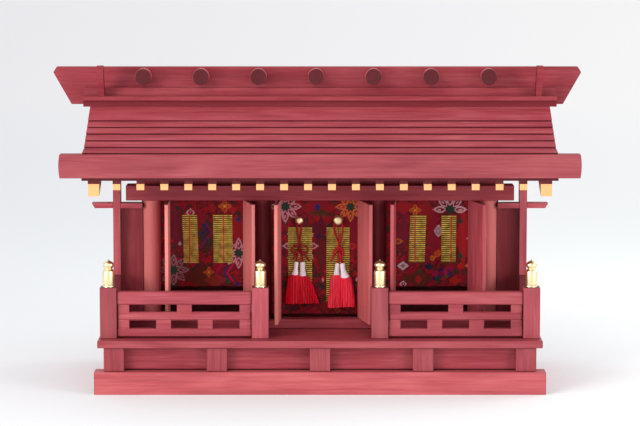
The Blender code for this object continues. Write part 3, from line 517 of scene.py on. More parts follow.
class ShrineWood(bpy.types.PropertyGroup):
    """The stained wood."""
    stain: hex_property("Stain", "Wine-red stain on early wood", 0x9A3843)
    late_wood: hex_property("Late wood", "Lighter streaks that the stain leaves", 0xAE505A)
    # Bare wood also serves as painted light on paler boards, and deep stain as painted shade on darker
    # ones.
    bare_and_painted_light: hex_property("Bare wood and painted light", "Wood under a thin coat of stain", 0xE89088)
    deep_stain_and_shade: hex_property("Deep stain and painted shade", "Hair lines and second coat", 0x5E1019)
    end_grain: hex_property("End grain", "Cut ends of boards", 0x421418)
    sheen: bpy.props.FloatProperty(
        name="Sheen", description="Strength of the wax's reflection", default=0.18, min=0.0, max=1.0,
    )
    gloss: bpy.props.FloatProperty(
        name="Wax roughness", description="Roughness of the waxed surface", default=0.42, min=0.1,
        max=1.0,
    )
    ring_spacing: length_property("Ring spacing", "Distance between grain streaks", 3.0)
    streak_length: length_property("Streak length", "Length of a grain streak", 80)


class ShrineMetal(bpy.types.PropertyGroup):
    """The brass caps, studs and gilt plates."""
    brass: hex_property("Brass", "Polished brass", 0xFAEBC4)
    brass_shade: hex_property("Brass shade", "Brass in the turning lines", 0xEED69C)
    gilt: hex_property("Gilt", "Gilt plate", 0xFFCB92)
    gilt_shade: hex_property("Gilt shade", "Clouds in the gilding", 0xF2B478)
    plate_thickness: length_property("Plate thickness", "Gilt plate on a rafter end", 0.3)
    plate_height: length_property("Plate height", "Gilt part of a common rafter's end", 7.1)


class ShrineThreads(bpy.types.PropertyGroup):
    """The curtains, their bars, and the tassels."""
    gold: hex_property("Gold thread", "Curtain bars", 0xE8CC58)
    gold_shade: hex_property("Worn gold thread", "Darker stretches of the bars", 0xA8842A)
    red_line: hex_property("Red line", "Red floss woven over the bars", 0xC8461E)
    red_line_shade: hex_property("Red line shade", "Red floss sunk between the bars", 0x8E2A12)
    bar_pitch: length_property("Bar pitch", "Distance between curtain bars", 2.44)
    bar_width: length_property("Bar width", "Height of one curtain bar", 1.1)
    wave: length_property("Wave", "Distance between a curtain's soft folds", 41)
    sway: length_property("Sway", "Depth of a curtain's folds either way", 0.35)
    grid: length_property("Grid", "Distance between a curtain's woven points", 0.9)
    cloth_thickness: length_property("Cloth thickness", "Thickness of the brocade", 0.4)
    # The left pair's cords and threads are darker copies of the right pair's: painted shade on the left
    # pair.
    shaded_cord_floss: hex_property("Dark floss", "Left cords in the light", 0x9C0C22)
    shaded_cord_twist: hex_property("Dark floss shade", "Left cords in their twist", 0x6E0616)
    red_floss: hex_property("Red floss", "Right cords in the light", 0xCC1228)
    red_floss_shade: hex_property("Red floss shade", "Right cords in their twist", 0x980A1C)
    shaded_thread_floss: hex_property("Floss in painted shade", "Left tassels' threads", 0xF81C38)
    shaded_thread_gaps: hex_property("Floss gaps in painted shade", "Between the left tassels' threads", 0xB80A22)
    scarlet_floss: hex_property("Scarlet floss", "Right tassels' threads", 0xFF4862)
    scarlet_shade: hex_property("Scarlet shade", "Between the right tassels' threads", 0xEA1830)
    white_floss: hex_property("White floss", "Wrapped tassel heads", 0xFFFCFF)
    white_shade: hex_property("White floss shade", "Between the turns of a wrapped head", 0xE4E2EC)
    cord_radius: length_property("Cord radius", "Strand between a stud and a tassel", 1.2)
    thread_radius: length_property("Thread radius", "Tassel thread, drawn coarse enough to show", 0.4)
    threads: bpy.props.IntProperty(
        name="Threads", description="Threads in one tassel skirt", default=300, min=20,
    )


class ShrineStage(bpy.types.PropertyGroup):
    """Floor, light and camera."""
    floor: hex_property("Floor", "Paper under the shelf", 0xF0F4F5)
    distance: hex_property("Distance", "Paper behind the shelf", 0xFFFFFF)
    left_shade: hex_property("Left shade", "Tone laid over the paper's left", 0xF2F2F5)
    key_power: power_property("Key light", "Soft box, upper left front", 18.0)
    left_power: power_property("Left light", "Soft box, low on the left", 37.0)
    right_power: power_property("Right light", "Soft box, low on the right", 31.0)
    back_power: power_property("Back light", "Small soft box behind, on the right", 2.4)
    ambient: bpy.props.FloatProperty(
        name="Ambient", description="Light from the white room", default=0.955, min=0.0,
    )
    lens: bpy.props.FloatProperty(
        name="Lens", description="Camera focal length", default=147.15, unit="CAMERA",
    )


GROUPS = {
    "shrine_wood": ShrineWood, "shrine_metal": ShrineMetal, "shrine_threads": ShrineThreads,
    "shrine_stage": ShrineStage,
}


# Operators

CAMERA_PLACE = (0.0, -3.1256, 0.5668)
CAMERA_PITCH = 83.253                   # degrees up from straight down
PAPER_CORNERS = ((-9, -5, 0), (9, -5, 0), (9, 14, 0), (-9, 14, 0))
ROOM_TINT = 0xFAFAFB
LIGHT_TARGET = Vector((0, 0, 0.18))     # about the shelf's middle


class SHRINE_OT_stage(bpy.types.Operator):
    """Lays the white paper, hangs the soft lights and sets up the camera"""
    bl_idname = "shrine.stage"
    bl_label = "Stage"

    def execute(self, context):
        stage = context.scene.shrine_stage
        lens = bpy.data.cameras.new("Camera")
        lens.lens = stage.lens
        lens.sensor_width = 36.0
        lens.clip_end = 50.0
        camera = bpy.data.objects.new("Camera", lens)
        camera.location = CAMERA_PLACE
        camera.rotation_euler = (math.radians(CAMERA_PITCH), 0.0, 0.0)
        context.scene.collection.objects.link(camera)
        context.scene.camera = camera
        shape = bmesh.new()
        shape.faces.new([shape.verts.new(corner) for corner in PAPER_CORNERS])
        floor = bpy.data.objects.new("paper_floor", mesh_of("paper_floor", shape))
        floor.data.materials.append(white_paper_sweep())
        context.scene.collection.objects.link(floor)
        world = bpy.data.worlds.new("White room")
        world.use_nodes = True
        join(world.node_tree.nodes["Background"], Color=hex_colour(ROOM_TINT), Strength=stage.ambient)
        context.scene.world = world
        context.scene.view_settings.view_transform = "Standard"
        self.hang("Key", (-1.3, -1.7, 1.7), 0.8, stage.key_power, 0xFFF9F2)
        self.hang("Left", (-2.1, -1.7, 0.5), 0.9, stage.left_power, 0xFFF6F0)
        self.hang("Right", (2.1, -1.7, 0.5), 0.9, stage.right_power, 0xFFF8F6)
        self.hang("Back", (1.0, 0.4, 0.75), 0.5, stage.back_power, 0xFDFDFF)
        return {"FINISHED"}

    @staticmethod
    def hang(name, place, size, power, tint):
        """A square soft box that faces the shelf."""
        light = bpy.data.lights.new(name, "AREA")
        light.shape = "SQUARE"
        light.size = size
        light.energy = power
        light.color = hex_colour(tint)[:3]
        box = bpy.data.objects.new(name, light)
        box.location = place
        box.rotation_euler = (LIGHT_TARGET - Vector(place)).to_track_quat("-Z", "Y").to_euler()
        box.visible_camera = False
        bpy.context.scene.collection.objects.link(box)


class SHRINE_OT_base(bpy.types.Operator):
    """Finishes the sill, struts, risers and veranda floor"""
    bl_idname = "shrine.base"
    bl_label = "Base"

    def execute(self, context):
        dress(["sill_front"], "sill", "X", 1, coat=-0.10)
        # The risers' darker coat is painted shade under the veranda floor.
        dress(["riser_front", "base_back"], "risers", "X", 2, coat=0.32)
        dress([f"base_side_{side}" for side in SIDES], "base sides", "Y", 3)
        dress([f"strut_{number}" for number in range(1, 6)], "struts", "Z", 4, coat=0.42, wax=2.2)
        dress(["veranda_floor"], "veranda floor", "X", 5, coat=0.32, wax=2.2)
        return {"FINISHED"}


# A brass cap's outline from its tip to its foot: radius and height, as shares of the cap's own.
FINIAL_OUTLINE = (
    (0.05, 1.000), (0.11, 0.993), (0.15, 0.980), (0.18, 0.966), (0.26, 0.950), (0.46, 0.930),
    (0.68, 0.902), (0.85, 0.867), (0.925, 0.832), (0.94, 0.797), (0.91, 0.762), (0.82, 0.726),
    (0.73, 0.699), (0.66, 0.682), (0.64, 0.668), (0.66, 0.654), (0.74, 0.636), (0.87, 0.611),
    (0.96, 0.585), (0.995, 0.560), (1.00, 0.540), (1.00, 0.075), (0.985, 0.065), (0.965, 0.056),
    (0.985, 0.047), (1.00, 0.038), (1.00, 0.000),
)


class SHRINE_OT_railings(bpy.types.Operator):
    """Finishes the railings and their posts, and turns the brass caps"""
    bl_idname = "shrine.railings"
    bl_label = "Railings"

    def execute(self, context):
        for side, coat in zip(SIDES, (0.18, 0.30)):
            dress([f"railing_{side}"], f"{side} rails", "X", 6, coat=coat, wax=2.0)
        for number, coat in enumerate((0.52, 0.05, 0.50, 0.20), 1):
            dress([f"railing_post_{number}"], f"post {number}", "Z", 7, coat=coat, wax=2.7)
        brass = polished_brass()
        for number in range(1, 5):
            self.finial(f"finial_{number}", brass)
        return {"FINISHED"}

    @staticmethod
    def finial(node, brass):
        """An onion-topped cap with a small point, a neck and a faint groove at its foot."""
        low, high, centre = middle(node)
        height = high.z - low.z
        radius = (high.x - low.x) / 2
        shape = bmesh.new()
        place = Matrix.Translation((centre.x, centre.y, low.z))
        lathe(shape, [(r * radius, h * height) for r, h in FINIAL_OUTLINE], place)
        piece = new_piece(f"brass_{node}", mesh_of(node, shape, 35), brass)
        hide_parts(node)


class SHRINE_OT_front(bpy.types.Operator):
    """Finishes the threshold and lintel and turns the round pillars"""
    bl_idname = "shrine.front"
    bl_label = "Front"

    def execute(self, context):
        dress(["threshold"], "threshold", "X", 8, coat=0.2)
        # The lintel's darker coat is painted shade under the eaves.
        dress(["lintel"], "lintel", "X", 9, coat=0.5)
        rods = rod_tree("Upright rods", (0, 0, 0))
        # Lit and shaded copies of one wood: the inner pillars' darker coat is painted shade from the open
        # door leaves, and the corner pillars' paler coat is painted light.
        for name, coat, wax, numbers in (("corner", -0.40, 0.3, (1, 4)), ("inner", 0.55, 1.0, (2, 3))):
            wood = stained_wood(f"{name} pillars", "Z", 10, coat, wax=wax)
            nodes = [f"pillar_{number}" for number in numbers]
            low, high, _ = middle(nodes[0])
            pillars = grow(
                f"{name}_pillars", rods, wood, "red_wood", [middle(node)[2] for node in nodes],
                smooth=40, Radius=(high.x - low.x) / 2, Length=high.z - low.z, Segments=72,
            )
            soften(pillars, 0.4 * MM)
            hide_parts(*nodes)
        return {"FINISHED"}


class SHRINE_OT_screens(bpy.types.Operator):
    """Finishes the side boards, the screen panels and their caps"""
    bl_idname = "shrine.screens"
    bl_label = "Side screens"

    def execute(self, context):
        dress([f"side_board_{side}" for side in SIDES], "side boards", "Z", 11, coat=0.10, wax=2.0)
        # The screen panels' darker coats are painted shade, darker on the right.
        for side, coat in zip(SIDES, (0.53, 0.70)):
            dress([f"screen_panel_{side}"], f"{side} screen", "Z", 12, coat=coat)
        dress([f"screen_cap_{side}" for side in SIDES], "screen caps", "X", 13)
        return {"FINISHED"}


# The coat of each door leaf's inner face and edges, paler or darker leaf by leaf as painted light and
# shade on the open leaves, and the one that all the outer faces have.
DOOR_PAINTED_LIGHT = {
    "centre_bay_door_left": -0.55, "centre_bay_door_right": -0.18, "left_bay_door_left": -0.65,
    "left_bay_door_right": -0.38, "right_bay_door_left": -0.12, "right_bay_door_right": 0.02,
}
OUTER_COAT = 0.10


class SHRINE_OT_room(bpy.types.Operator):
    """Finishes the walls of the inner room and the six door leaves"""
    bl_idname = "shrine.room"
    bl_label = "Room and doors"

    def execute(self, context):
        dress([f"cabinet_side_{side}" for side in SIDES], "room sides", "Z", 14, coat=0.1)
        dress(["cabinet_back"], "room back", "X", 15, coat=0.1)
        for number, (leaf, coat) in enumerate(DOOR_PAINTED_LIGHT.items()):
            side = -1 if leaf.endswith("left") else 1
            dress([leaf], leaf, "Z", 30 + number, coat=coat, outer=(side, OUTER_COAT))
        return {"FINISHED"}


# Each row of gilt plates: how many, the step from one to the next, the first one's middle, the width,
# and how far the foot lies over the lowest point of the rafters.
PLATES = {
    "common": (18, 27.6 * MM, -234.6 * MM, 8.9 * MM, 7.2 * MM),
    "barge": (2, 522 * MM, -261 * MM, 13.3 * MM, 0.0),
}


class SHRINE_OT_roof(bpy.types.Operator):
    """Finishes the roof boards, rafters and eave boards, and fits the gilt plates"""
    bl_idname = "shrine.roof"
    bl_label = "Roof"

    def execute(self, context):
        for number, row in enumerate(ROWS):
            # The roof boards get painted shade in their grooves.
            dress([f"roof_board_{row}"], f"{row} roof boards", "X", 17 + number, coat=0.14, pooled=0.8)
            dress([f"eave_board_{row}"], f"{row} eave board", "X", 19 + number, coat=0.40, wax=2.4)
            dress([f"rafter_deck_{row}"], f"{row} rafters", "Y", 21 + number, coat=0.2)
        metal = context.scene.shrine_metal
        tree, finish = self.plate_row(), gilt_plate()
        low, _, _ = middle("rafter_deck_front")
        thick = metal.plate_thickness
        top = low.z + PLATES["common"][4] + metal.plate_height
        for row, y in zip(ROWS, (low.y - thick / 2, -low.y + thick / 2)):
            for kind, (count, spacing, first, width, rise) in PLATES.items():
                foot = low.z + rise
                piece = grow(
                    f"gilt_plates_{kind}_{row}", tree, finish, "brass", Count=count, Spacing=spacing,
                    First=(first, y, (top + foot) / 2), Size=(width, thick, top - foot),
                )
                soften(piece, 0.1 * MM)
        return {"FINISHED"}

    @staticmethod
    def plate_row():
        """Plates of one size in a row along X."""
        tree, entry, end = geometry_tree("Plates in a row", {
            "Count": ("Int", 18), "Spacing": ("Float", 27.6 * MM), "First": ("Vector", None),
            "Size": ("Vector", None),
        })
        step = add(tree, "ShaderNodeCombineXYZ", X=entry["Spacing"])
        row = add(
            tree, "GeometryNodeMeshLine", Count=entry["Count"], Start_Location=entry["First"],
            Offset=step,
        )
        plate = add(tree, "GeometryNodeMeshCube", Size=entry["Size"])
        put = add(tree, "GeometryNodeInstanceOnPoints", Points=row, Instance=plate)
        end(put)
        return tree


COVER_LEDGE = 334.8 * MM                # height of the ledge on the ridge covers
PLANK_FACE = 6 * MM                     # half the ridge board's thickness
PLANK_FOOT = 293.5 * MM                 # half its length at the foot
PLANK_TIP = 6.6 * MM                    # its ends reach furthest this far under its top
PLANK_LEAN = 4 * MM                     # and lean back by this up to the top
LOG_RADIUS = 9.8 * MM
LOG_STEP = 68.4 * MM
LOG_SHIFT = -4.7 * MM                   # the row of logs sits a little to the left
LOG_DROP = 1.1 * MM                     # from the solid's top down to the logs' tops


class SHRINE_OT_ridge(bpy.types.Operator):
    """Makes the ridge board with its logs, and finishes the covers that carry the crossed arms"""
    bl_idname = "shrine.ridge"
    bl_label = "Ridge"

    def execute(self, context):
        covers = [f"ridge_cover_{row}" for row in ROWS]
        # The covers get painted shade under their ledge.
        dress(covers, "ridge covers", "X", 23, coat=0.45, run=(COVER_LEDGE, 0.7))
        low, high, centre = middle("ridge_board")
        reach = high.x - centre.x
        half = [(PLANK_FOOT, low.z), (reach, high.z - PLANK_TIP), (reach - PLANK_LEAN, high.z)]
        shape = bmesh.new()
        outline = [shape.verts.new((centre.x + x, -PLANK_FACE, z)) for x, z in half]
        outline += [shape.verts.new((centre.x - x, -PLANK_FACE, z)) for x, z in reversed(half)]
        moved = bmesh.ops.extrude_face_region(shape, geom=[shape.faces.new(outline)])["geom"]
        bmesh.ops.translate(
            shape, verts=[part for part in moved if isinstance(part, bmesh.types.BMVert)],
            vec=(0, 2 * PLANK_FACE, 0),
        )
        wood = stained_wood("ridge board", "X", 24, 0.44)
        plank = new_piece("ridge_plank", mesh_of("ridge_plank", shape), wood)
        soften(plank, 0.5 * MM)
        places = [
            (number * LOG_STEP + LOG_SHIFT, centre.y, high.z - LOG_DROP - LOG_RADIUS)
            for number in range(-3, 4)
        ]
        logs = grow(
            "ridge_logs", rod_tree("Lying rods", (math.pi / 2, 0, 0)),
            stained_wood("logs", "Y", 25, 0.1, ends=0.92), "red_wood", places, smooth=40,
            Radius=LOG_RADIUS, Length=high.y - low.y, Segments=64,
        )
        soften(logs, 0.9 * MM, 3)
        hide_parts("ridge_board")
        return {"FINISHED"}


# Dyes of the brocade. A figure names its other dyes by their sRGB hex codes alone.
PINK, BLUE, SCARLET, LEAF, ORANGE = 0xD08C96, 0x2C2C66, 0xA8161C, 0x2C3A2C, 0xC8641E
WINDOW_GROUND = 0x66401C
GROUND_DYES = (0x940C1E, 0x780A1E, 0x86082C, 0x5E1018, 0x4A2014, 0xA8101C, 0x2E2A22)
# The ground's patches, from large to small: their pitch in millimetres, and the share that is laid.
GROUND_PATCHES = ((19.0, 1.0), (8.0, 0.5), (3.2, 0.32), (1.7, 0.22))


class Weave:
    """Figures woven into a brocade: each call lays one or two dyes over part of the cloth.

    Places and sizes are millimetres across and up, on the front of the shelf.
    """

    def __init__(self, x, z):
        self.x, self.z = x, z
        self.colour = np.ones((len(x), 4))

    def lay(self, where, code):
        """Dyes the points that a mask picks."""
        self.colour[where] = hex_colour(code)

    def cells(self, pitch, seed):
        """A share from 0 to 1 for each slanting square cell, from its row and column."""
        row, column = np.floor((self.x + self.z) / pitch), np.floor((self.x - self.z) / pitch)
        return np.modf(np.abs(np.sin(row * 12.9898 + column * 78.233 + seed) * 43758.5453))[0]

    def ground(self, seed):
        """Large slanting patches with smaller ones scattered over them."""
        for order, (pitch, chance) in enumerate(GROUND_PATCHES):
            share, pick = self.cells(pitch, seed + 7.7 * order), self.cells(pitch, seed + 3.1 + order)
            for number, code in enumerate(GROUND_DYES):
                self.lay((share < chance) & (np.floor(pick * len(GROUND_DYES)) == number), code)

    def window(self, left, right, lean_left, lean_right, foot, top):
        """The darker ground behind a window's bars, 1 mm larger at the foot and the top."""
        down = np.clip((top - self.z) / (top - foot), 0, 1)
        inside = (self.x > left + lean_left * down) & (self.x < right + lean_right * down)
        self.lay(inside & (self.z > foot - 1) & (self.z < top + 1), WINDOW_GROUND)

    def petal(self, x, z, reach, angle, code, fill=None, width=0.30, line=1.4, start=0.3):
        """A pointed petal's outline and vein, out from a flower's middle at an angle in degrees.

        Width and start are shares of its reach, and line is the outline's width.
        """
        turn = math.radians(angle)
        across, up = self.x - x, self.z - z
        along = across * math.cos(turn) + up * math.sin(turn)
        side = np.abs(up * math.cos(turn) - across * math.sin(turn))
        share = np.clip((along / reach - start) / (1 - start), 0, 1)
        edge = width * reach * np.sin(math.pi * share**0.8)
        inside = (along > start * reach) & (along < reach) & (side < edge)
        if fill is not None:
            self.lay(inside, fill)
        self.lay(inside & ((side > edge - line) | (share > 0.8)), code)
        self.lay(inside & (side < line / 2) & (share > 0.35) & (share < 0.6), code)

    def rosette(self, x, z, reach, code, fill=0x7A1428, middle=0x2A3A30, petals=8):
        """A flower of petals 45 degrees apart, counted from the right and round by the top."""
        for number in range(petals):
            self.petal(x, z, reach, 45 * number, code, fill, width=0.20, line=1.7, start=0.24)
        self.lay((self.x - x) ** 2 + (self.z - z) ** 2 < (0.25 * reach) ** 2, middle)

    def diamond(self, x, z, wide, high, code, fill=None):
        """A diamond, with a smaller one in it where there is a fill."""
        reach = np.abs(self.x - x) / (wide / 2) + np.abs(self.z - z) / (high / 2)
        self.lay(reach < 1, code)
        if fill is not None:
            self.lay(reach < 0.5, fill)

    def fleuron(self, x, z, reach, code=ORANGE):
        """A small cross of four petals round a diamond."""
        for angle in (0, 90, 180, 270):
            self.petal(x, z, reach, angle, code, fill=0x8E1A1C, width=0.34, line=1.0, start=0.05)
        self.diamond(x, z, 0.5 * reach, 0.5 * reach, 0xD98A34)

    def chevron(self, x, z, high, reach, code, width=3.0):
        """A V on its side that points right, or left where its reach is negative."""
        up = np.abs(self.z - z) / (high / 2)
        self.lay((up < 1) & (np.abs(self.x - (x + reach * (1 - up))) < width / 2), code)


# Each bay's two windows of gold bars: left and right edge at the top, how far each edge moves by the
# foot, foot, top, and the red line's middle. Then each bay's figures in the order in which they are
# laid: a method of Weave, and the values of each of its calls. All lengths are millimetres.
WINDOWS = {
    "left_bay": (
        (-165.8, -146.3, 3.8, 0.0, 139.8, 196.0, -156.3), (-128.0, -105.1, 0.4, 0.6, 139.8, 196.0, -115.5),
    ),
    "centre_bay": ((-38.0, -9.6, 0.0, 0.0, 91.0, 181.0, -23.5), (7.7, 35.6, 0.0, -1.0, 91.0, 181.0, 22.0)),
    "right_bay": (
        (107.6, 127.5, -0.8, -2.6, 139.5, 195.2, 113.8), (145.3, 163.3, 0.0, -1.0, 139.5, 195.2, 157.0),
    ),
}
FIGURES = {
    "left_bay": (
        ("diamond", (
            (-147.0, 190.0, 40, 30, 0x8A1424), (-100.0, 180.0, 22, 36, 0x96161E),
            (-170.0, 180.0, 26, 50, 0x6A1226), (-135.0, 172.0, 26, 46, 0x4A2C20),
        )),
        ("chevron", (
            (-145.0, 176.0, 40, 16, 0x8A1034), (-147.0, 166.0, 24, 12, BLUE, 2.4),
            (-143.0, 180.0, 14, 9, 0x3C1450, 2.6),
        )),
        ("diamond", (
            (-137.5, 184.0, 5, 6, BLUE), (-134.0, 176.0, 4, 8, 0x3A2058), (-97.8, 191.3, 6, 8, BLUE),
            (-104.0, 203.0, 10, 10, SCARLET), (-129.0, 205.0, 12, 14, 0x9A1A1C),
            (-140.0, 122.0, 60, 26, 0x5E2018), (-125.0, 118.0, 30, 16, 0x86281C),
        )),
        ("fleuron", ((-113.8, 207.4, 8.5),)),
        ("petal", ((-155.1, 195.0, 9.5, 90, 0xCFA8AC, None, 0.5, 1.6, 0.1),)),
        ("rosette", ((-97.4, 150.6, 19.0, PINK), (-175.5, 130.6, 19.5, 0x8E646C))),
        ("diamond", ((-167.8, 162.2, 4, 6, 0xB89090),)),
        ("fleuron", ((-133.4, 127.6, 6.5, 0xC05A20),)),
        ("chevron", (
            (-117.0, 127.0, 22, -8, 0xA01440), (-109.0, 127.5, 18, -7, BLUE, 2.2),
            (-103.5, 127.0, 22, -8, 0xB0184C, 2.2),
        )),
        ("diamond", ((-110.8, 116.8, 6, 7, LEAF), (-99.0, 113.5, 8, 6, 0x4A1A58))),
    ),
    "centre_bay": (
        ("diamond", (
            (-2.5, 205.0, 44, 30, 0x8E1420), (-1.0, 180.0, 20, 40, 0x64122A),
            (-1.0, 199.5, 28, 9, 0x58301C), (2.0, 150.0, 16, 60, 0x6A1A1E),
            (40.0, 175.0, 16, 60, 0x861024), (-20.0, 185.0, 22, 12, 0x6A1622), (-2.9, 206.4, 8, 11, BLUE),
            (-3.4, 193.0, 6.5, 12, SCARLET), (9.5, 193.0, 6, 9, 0x96161E), (-5.0, 196.0, 3, 5, LEAF),
            (4.5, 197.0, 4, 6, 0x5A3A22), (-1.0, 171.0, 9, 6, 0x3C1846),
        )),
        ("rosette", (
            (-41.5, 206.9, 20.0, PINK), (36.5, 206.6, 18.5, 0xD06A3C, 0x8E1C18),
            (-23.5, 159.4, 22.0, PINK),
        )),
        ("petal", ((31.0, 157.5, 13.0, 12, 0xC43030, 0x8E1820, 0.3),)),
        ("diamond", (
            (3.4, 118.3, 3.4, 6.5, 0xD08878), (44.0, 119.0, 3, 6, PINK), (8.0, 86.0, 22, 14, 0x7E1418),
            (21.0, 81.5, 9, 8, 0xA04028, 0x7A201A), (-30.0, 84.0, 18, 8, 0x50141E),
        )),
    ),
    "right_bay": (
        ("diamond", (
            (100.0, 207.0, 30, 18, 0x9A161E), (128.0, 200.0, 22, 30, 0x90161E),
            (136.0, 170.0, 16, 70, 0x8A1426), (172.0, 170.0, 20, 70, 0xA0161E),
            (100.0, 178.0, 16, 40, 0x74122A), (118.0, 120.0, 40, 20, 0x5A2418),
        )),
        ("fleuron", ((113.8, 202.3, 7.5, 0xD0701E),)),
        ("rosette", ((155.5, 203.3, 20.5, 0xD8A4AC, 0x7A1428, 0x2A3A30, 5),)),
        ("petal", (
            (146.0, 177.4, 9.5, 180, 0xCFA8AC, 0xA88088, 0.75, 2.0, 0.0),
            (129.0, 141.0, 11.0, 32, ORANGE, 0xB4521A, 0.3),
            (137.0, 141.5, 15.0, 66, 0xC8501E, 0xB0461A, 0.26),
        )),
        ("diamond", (
            (178.5, 168.3, 6, 5, 0xD8A8AC), (93.5, 165.0, 14, 8, 0xB0541E, 0x7A2018),
            (99.4, 135.4, 14.5, 11, 0xC0A8AC, 0x7E5A60),
        )),
        ("petal", ((99.8, 110.5, 6.5, 90, 0xCFB8BC, None, 0.6, 1.2, 0.0),)),
        ("diamond", (
            (176.5, 135.5, 6, 5, 0xD06A38), (168.5, 135.0, 10, 9, 0xB01C1C),
            (130.5, 134.5, 12, 7, 0x241C40), (139.0, 126.0, 9, 8, 0x8E1050),
            (145.0, 131.0, 8, 7, 0x3A1450), (150.5, 127.5, 8, 8, 0x9A1250), (144.5, 122.0, 6, 6, BLUE),
            (157.0, 132.0, 9, 7, 0x8E1050), (156.0, 125.0, 6, 6, BLUE), (137.0, 120.0, 5, 5, 0x3A1450),
            (141.0, 119.5, 6, 9, 0x1E3A34), (118.0, 119.0, 9, 12, 0xA81820),
            (162.0, 118.0, 16, 12, 0xB01C1C), (168.0, 189.5, 6, 8, LEAF), (168.5, 147.0, 6, 9, LEAF),
            (164.5, 129.0, 4, 6, LEAF), (174.0, 128.0, 4, 5, LEAF), (119.0, 128.5, 5, 6, 0x33402A),
            (151.0, 122.0, 5, 5, 0x4A4A20),
        )),
    ),
}


BAR_DEPTH = 0.25 * MM                   # a gold bar's thickness
LINE_WIDTH = 1.7 * MM                   # of the red floss over the bars
LINE_DEPTH = 0.14 * MM
LINE_LIFT = 0.1 * MM                    # the red floss lies this far in front of the bars' middle
CLOTH_CLEAR = 0.3 * MM                  # from the solid's front to the cloth's foremost folds


class SHRINE_OT_curtains(bpy.types.Operator):
    """Weaves the three brocade curtains with their windows of gold bars"""
    bl_idname = "shrine.curtains"
    bl_label = "Curtains"

    def execute(self, context):
        silk = context.scene.shrine_threads
        brocade = woven_brocade()
        gold = gold_thread("Gilt paper thread", silk.gold, silk.gold_shade)
        red = gold_thread("Gilt paper thread under red floss", silk.red_line, silk.red_line_shade)
        strips = self.strips()
        for seed, (bay, windows) in enumerate(WINDOWS.items()):
            low, high, centre = middle(f"{bay}_cloth")
            face = low.y + silk.sway + CLOTH_CLEAR
            mesh = self.cloth(bay, seed, low, high, face, silk)
            curtain = new_piece(f"{bay}_curtain", mesh, brocade)
            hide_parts(f"{bay}_cloth")
            waves = {"Wave": silk.wave, "Sway": silk.sway, "Start": centre.x}
            for side, (left, right, lean_left, lean_right, foot, top, line) in zip(SIDES, windows):
                rows = np.arange(top, foot, -silk.bar_pitch / MM)
                slant = (lean_left + lean_right) / 2 * (top - rows) / (top - foot)
                places = [
                    ((left + right) / 2 * MM + shift * MM, face, row * MM)
                    for row, shift in zip(rows, slant)
                ]
                width = (right - left + (lean_right - lean_left) / 2) * MM
                grow(
                    f"{bay}_gold_bars_{side}", strips, gold, "brocade", places,
                    Size=(width, BAR_DEPTH, silk.bar_width), **waves,
                )
                grow(
                    f"{bay}_red_line_{side}", strips, red, "brocade",
                    [(line * MM, face - LINE_LIFT, (top + foot) / 2 * MM)],
                    Size=(LINE_WIDTH, LINE_DEPTH, (top - foot) * MM), **waves,
                )
        return {"FINISHED"}

    @staticmethod
    def cloth(bay, seed, low, high, face, silk):
        """A hanging cloth in soft upright waves, closed at its edges, with its woven colours."""
        columns = round((high.x - low.x) / silk.grid) + 1
        rows = round((high.z - low.z) / silk.grid) + 1
        x, z = np.meshgrid(np.linspace(low.x, high.x, columns), np.linspace(low.z, high.z, rows))
        y = face + silk.sway * np.sin(math.tau * (x - (low.x + high.x) / 2) / silk.wave)
        front = np.stack((x, y, z), -1).reshape(-1, 3)
        index = np.arange(columns * rows).reshape(rows, columns)
        quads = np.stack((index[:-1, :-1], index[:-1, 1:], index[1:, 1:], index[1:, :-1]), -1)
        quads = quads.reshape(-1, 4)
        edge = np.concatenate((index[0, :-1], index[:-1, -1], index[-1, :0:-1], index[:0:-1, 0]))
        behind = len(front)
        rim = np.stack((edge, edge + behind, np.roll(edge, -1) + behind, np.roll(edge, -1)), -1)
        verts = np.concatenate((front, front + (0, silk.cloth_thickness, 0)))
        faces = np.concatenate((quads, quads[:, ::-1] + behind, rim))
        mesh = bpy.data.meshes.new(f"{bay}_curtain")
        mesh.from_pydata(verts.tolist(), [], faces.tolist())
        mesh.shade_smooth()
        weave = Weave(verts[:, 0] / MM, verts[:, 2] / MM)
        weave.ground(seed)
        for kind, figures in FIGURES[bay]:
            for values in figures:
                getattr(weave, kind)(*values)
        for window in WINDOWS[bay]:
            weave.window(*window[:6])
        colours = mesh.attributes.new("weft_colour", "FLOAT_COLOR", "POINT")
        colours.data.foreach_set("color", weave.colour.ravel())
        return mesh

    @staticmethod
    def strips():
        """Thin strips centred on the points, bent along the cloth's waves."""
        tree, entry, end = geometry_tree("Strips on waves", {
            "Size": ("Vector", None), "Wave": ("Float", 40 * MM), "Sway": ("Float", 0.3 * MM),
            "Start": ("Float", 0.0),
        })
        strip = add(tree, "GeometryNodeMeshCube", Size=entry["Size"], Vertices_X=14)
        put = add(tree, "GeometryNodeInstanceOnPoints", Points=entry["Geometry"], Instance=strip)
        real = add(tree, "GeometryNodeRealizeInstances", Geometry=put)
        place = add(tree, "GeometryNodeInputPosition")
        shift = add(tree, "ShaderNodeSeparateXYZ", Vector=place).outputs["X"]
        for operation, value in (
            ("SUBTRACT", entry["Start"]), ("DIVIDE", entry["Wave"]), ("MULTIPLY", math.tau),
            ("SINE", 0.0), ("MULTIPLY", entry["Sway"]),
        ):
            shift = add(tree, "ShaderNodeMath", operation, n0=shift, n1=value)
        offset = add(tree, "ShaderNodeCombineXYZ", Y=shift)
        moved = add(tree, "GeometryNodeSetPosition", Geometry=real, Offset=offset)
        end(moved)
        return tree


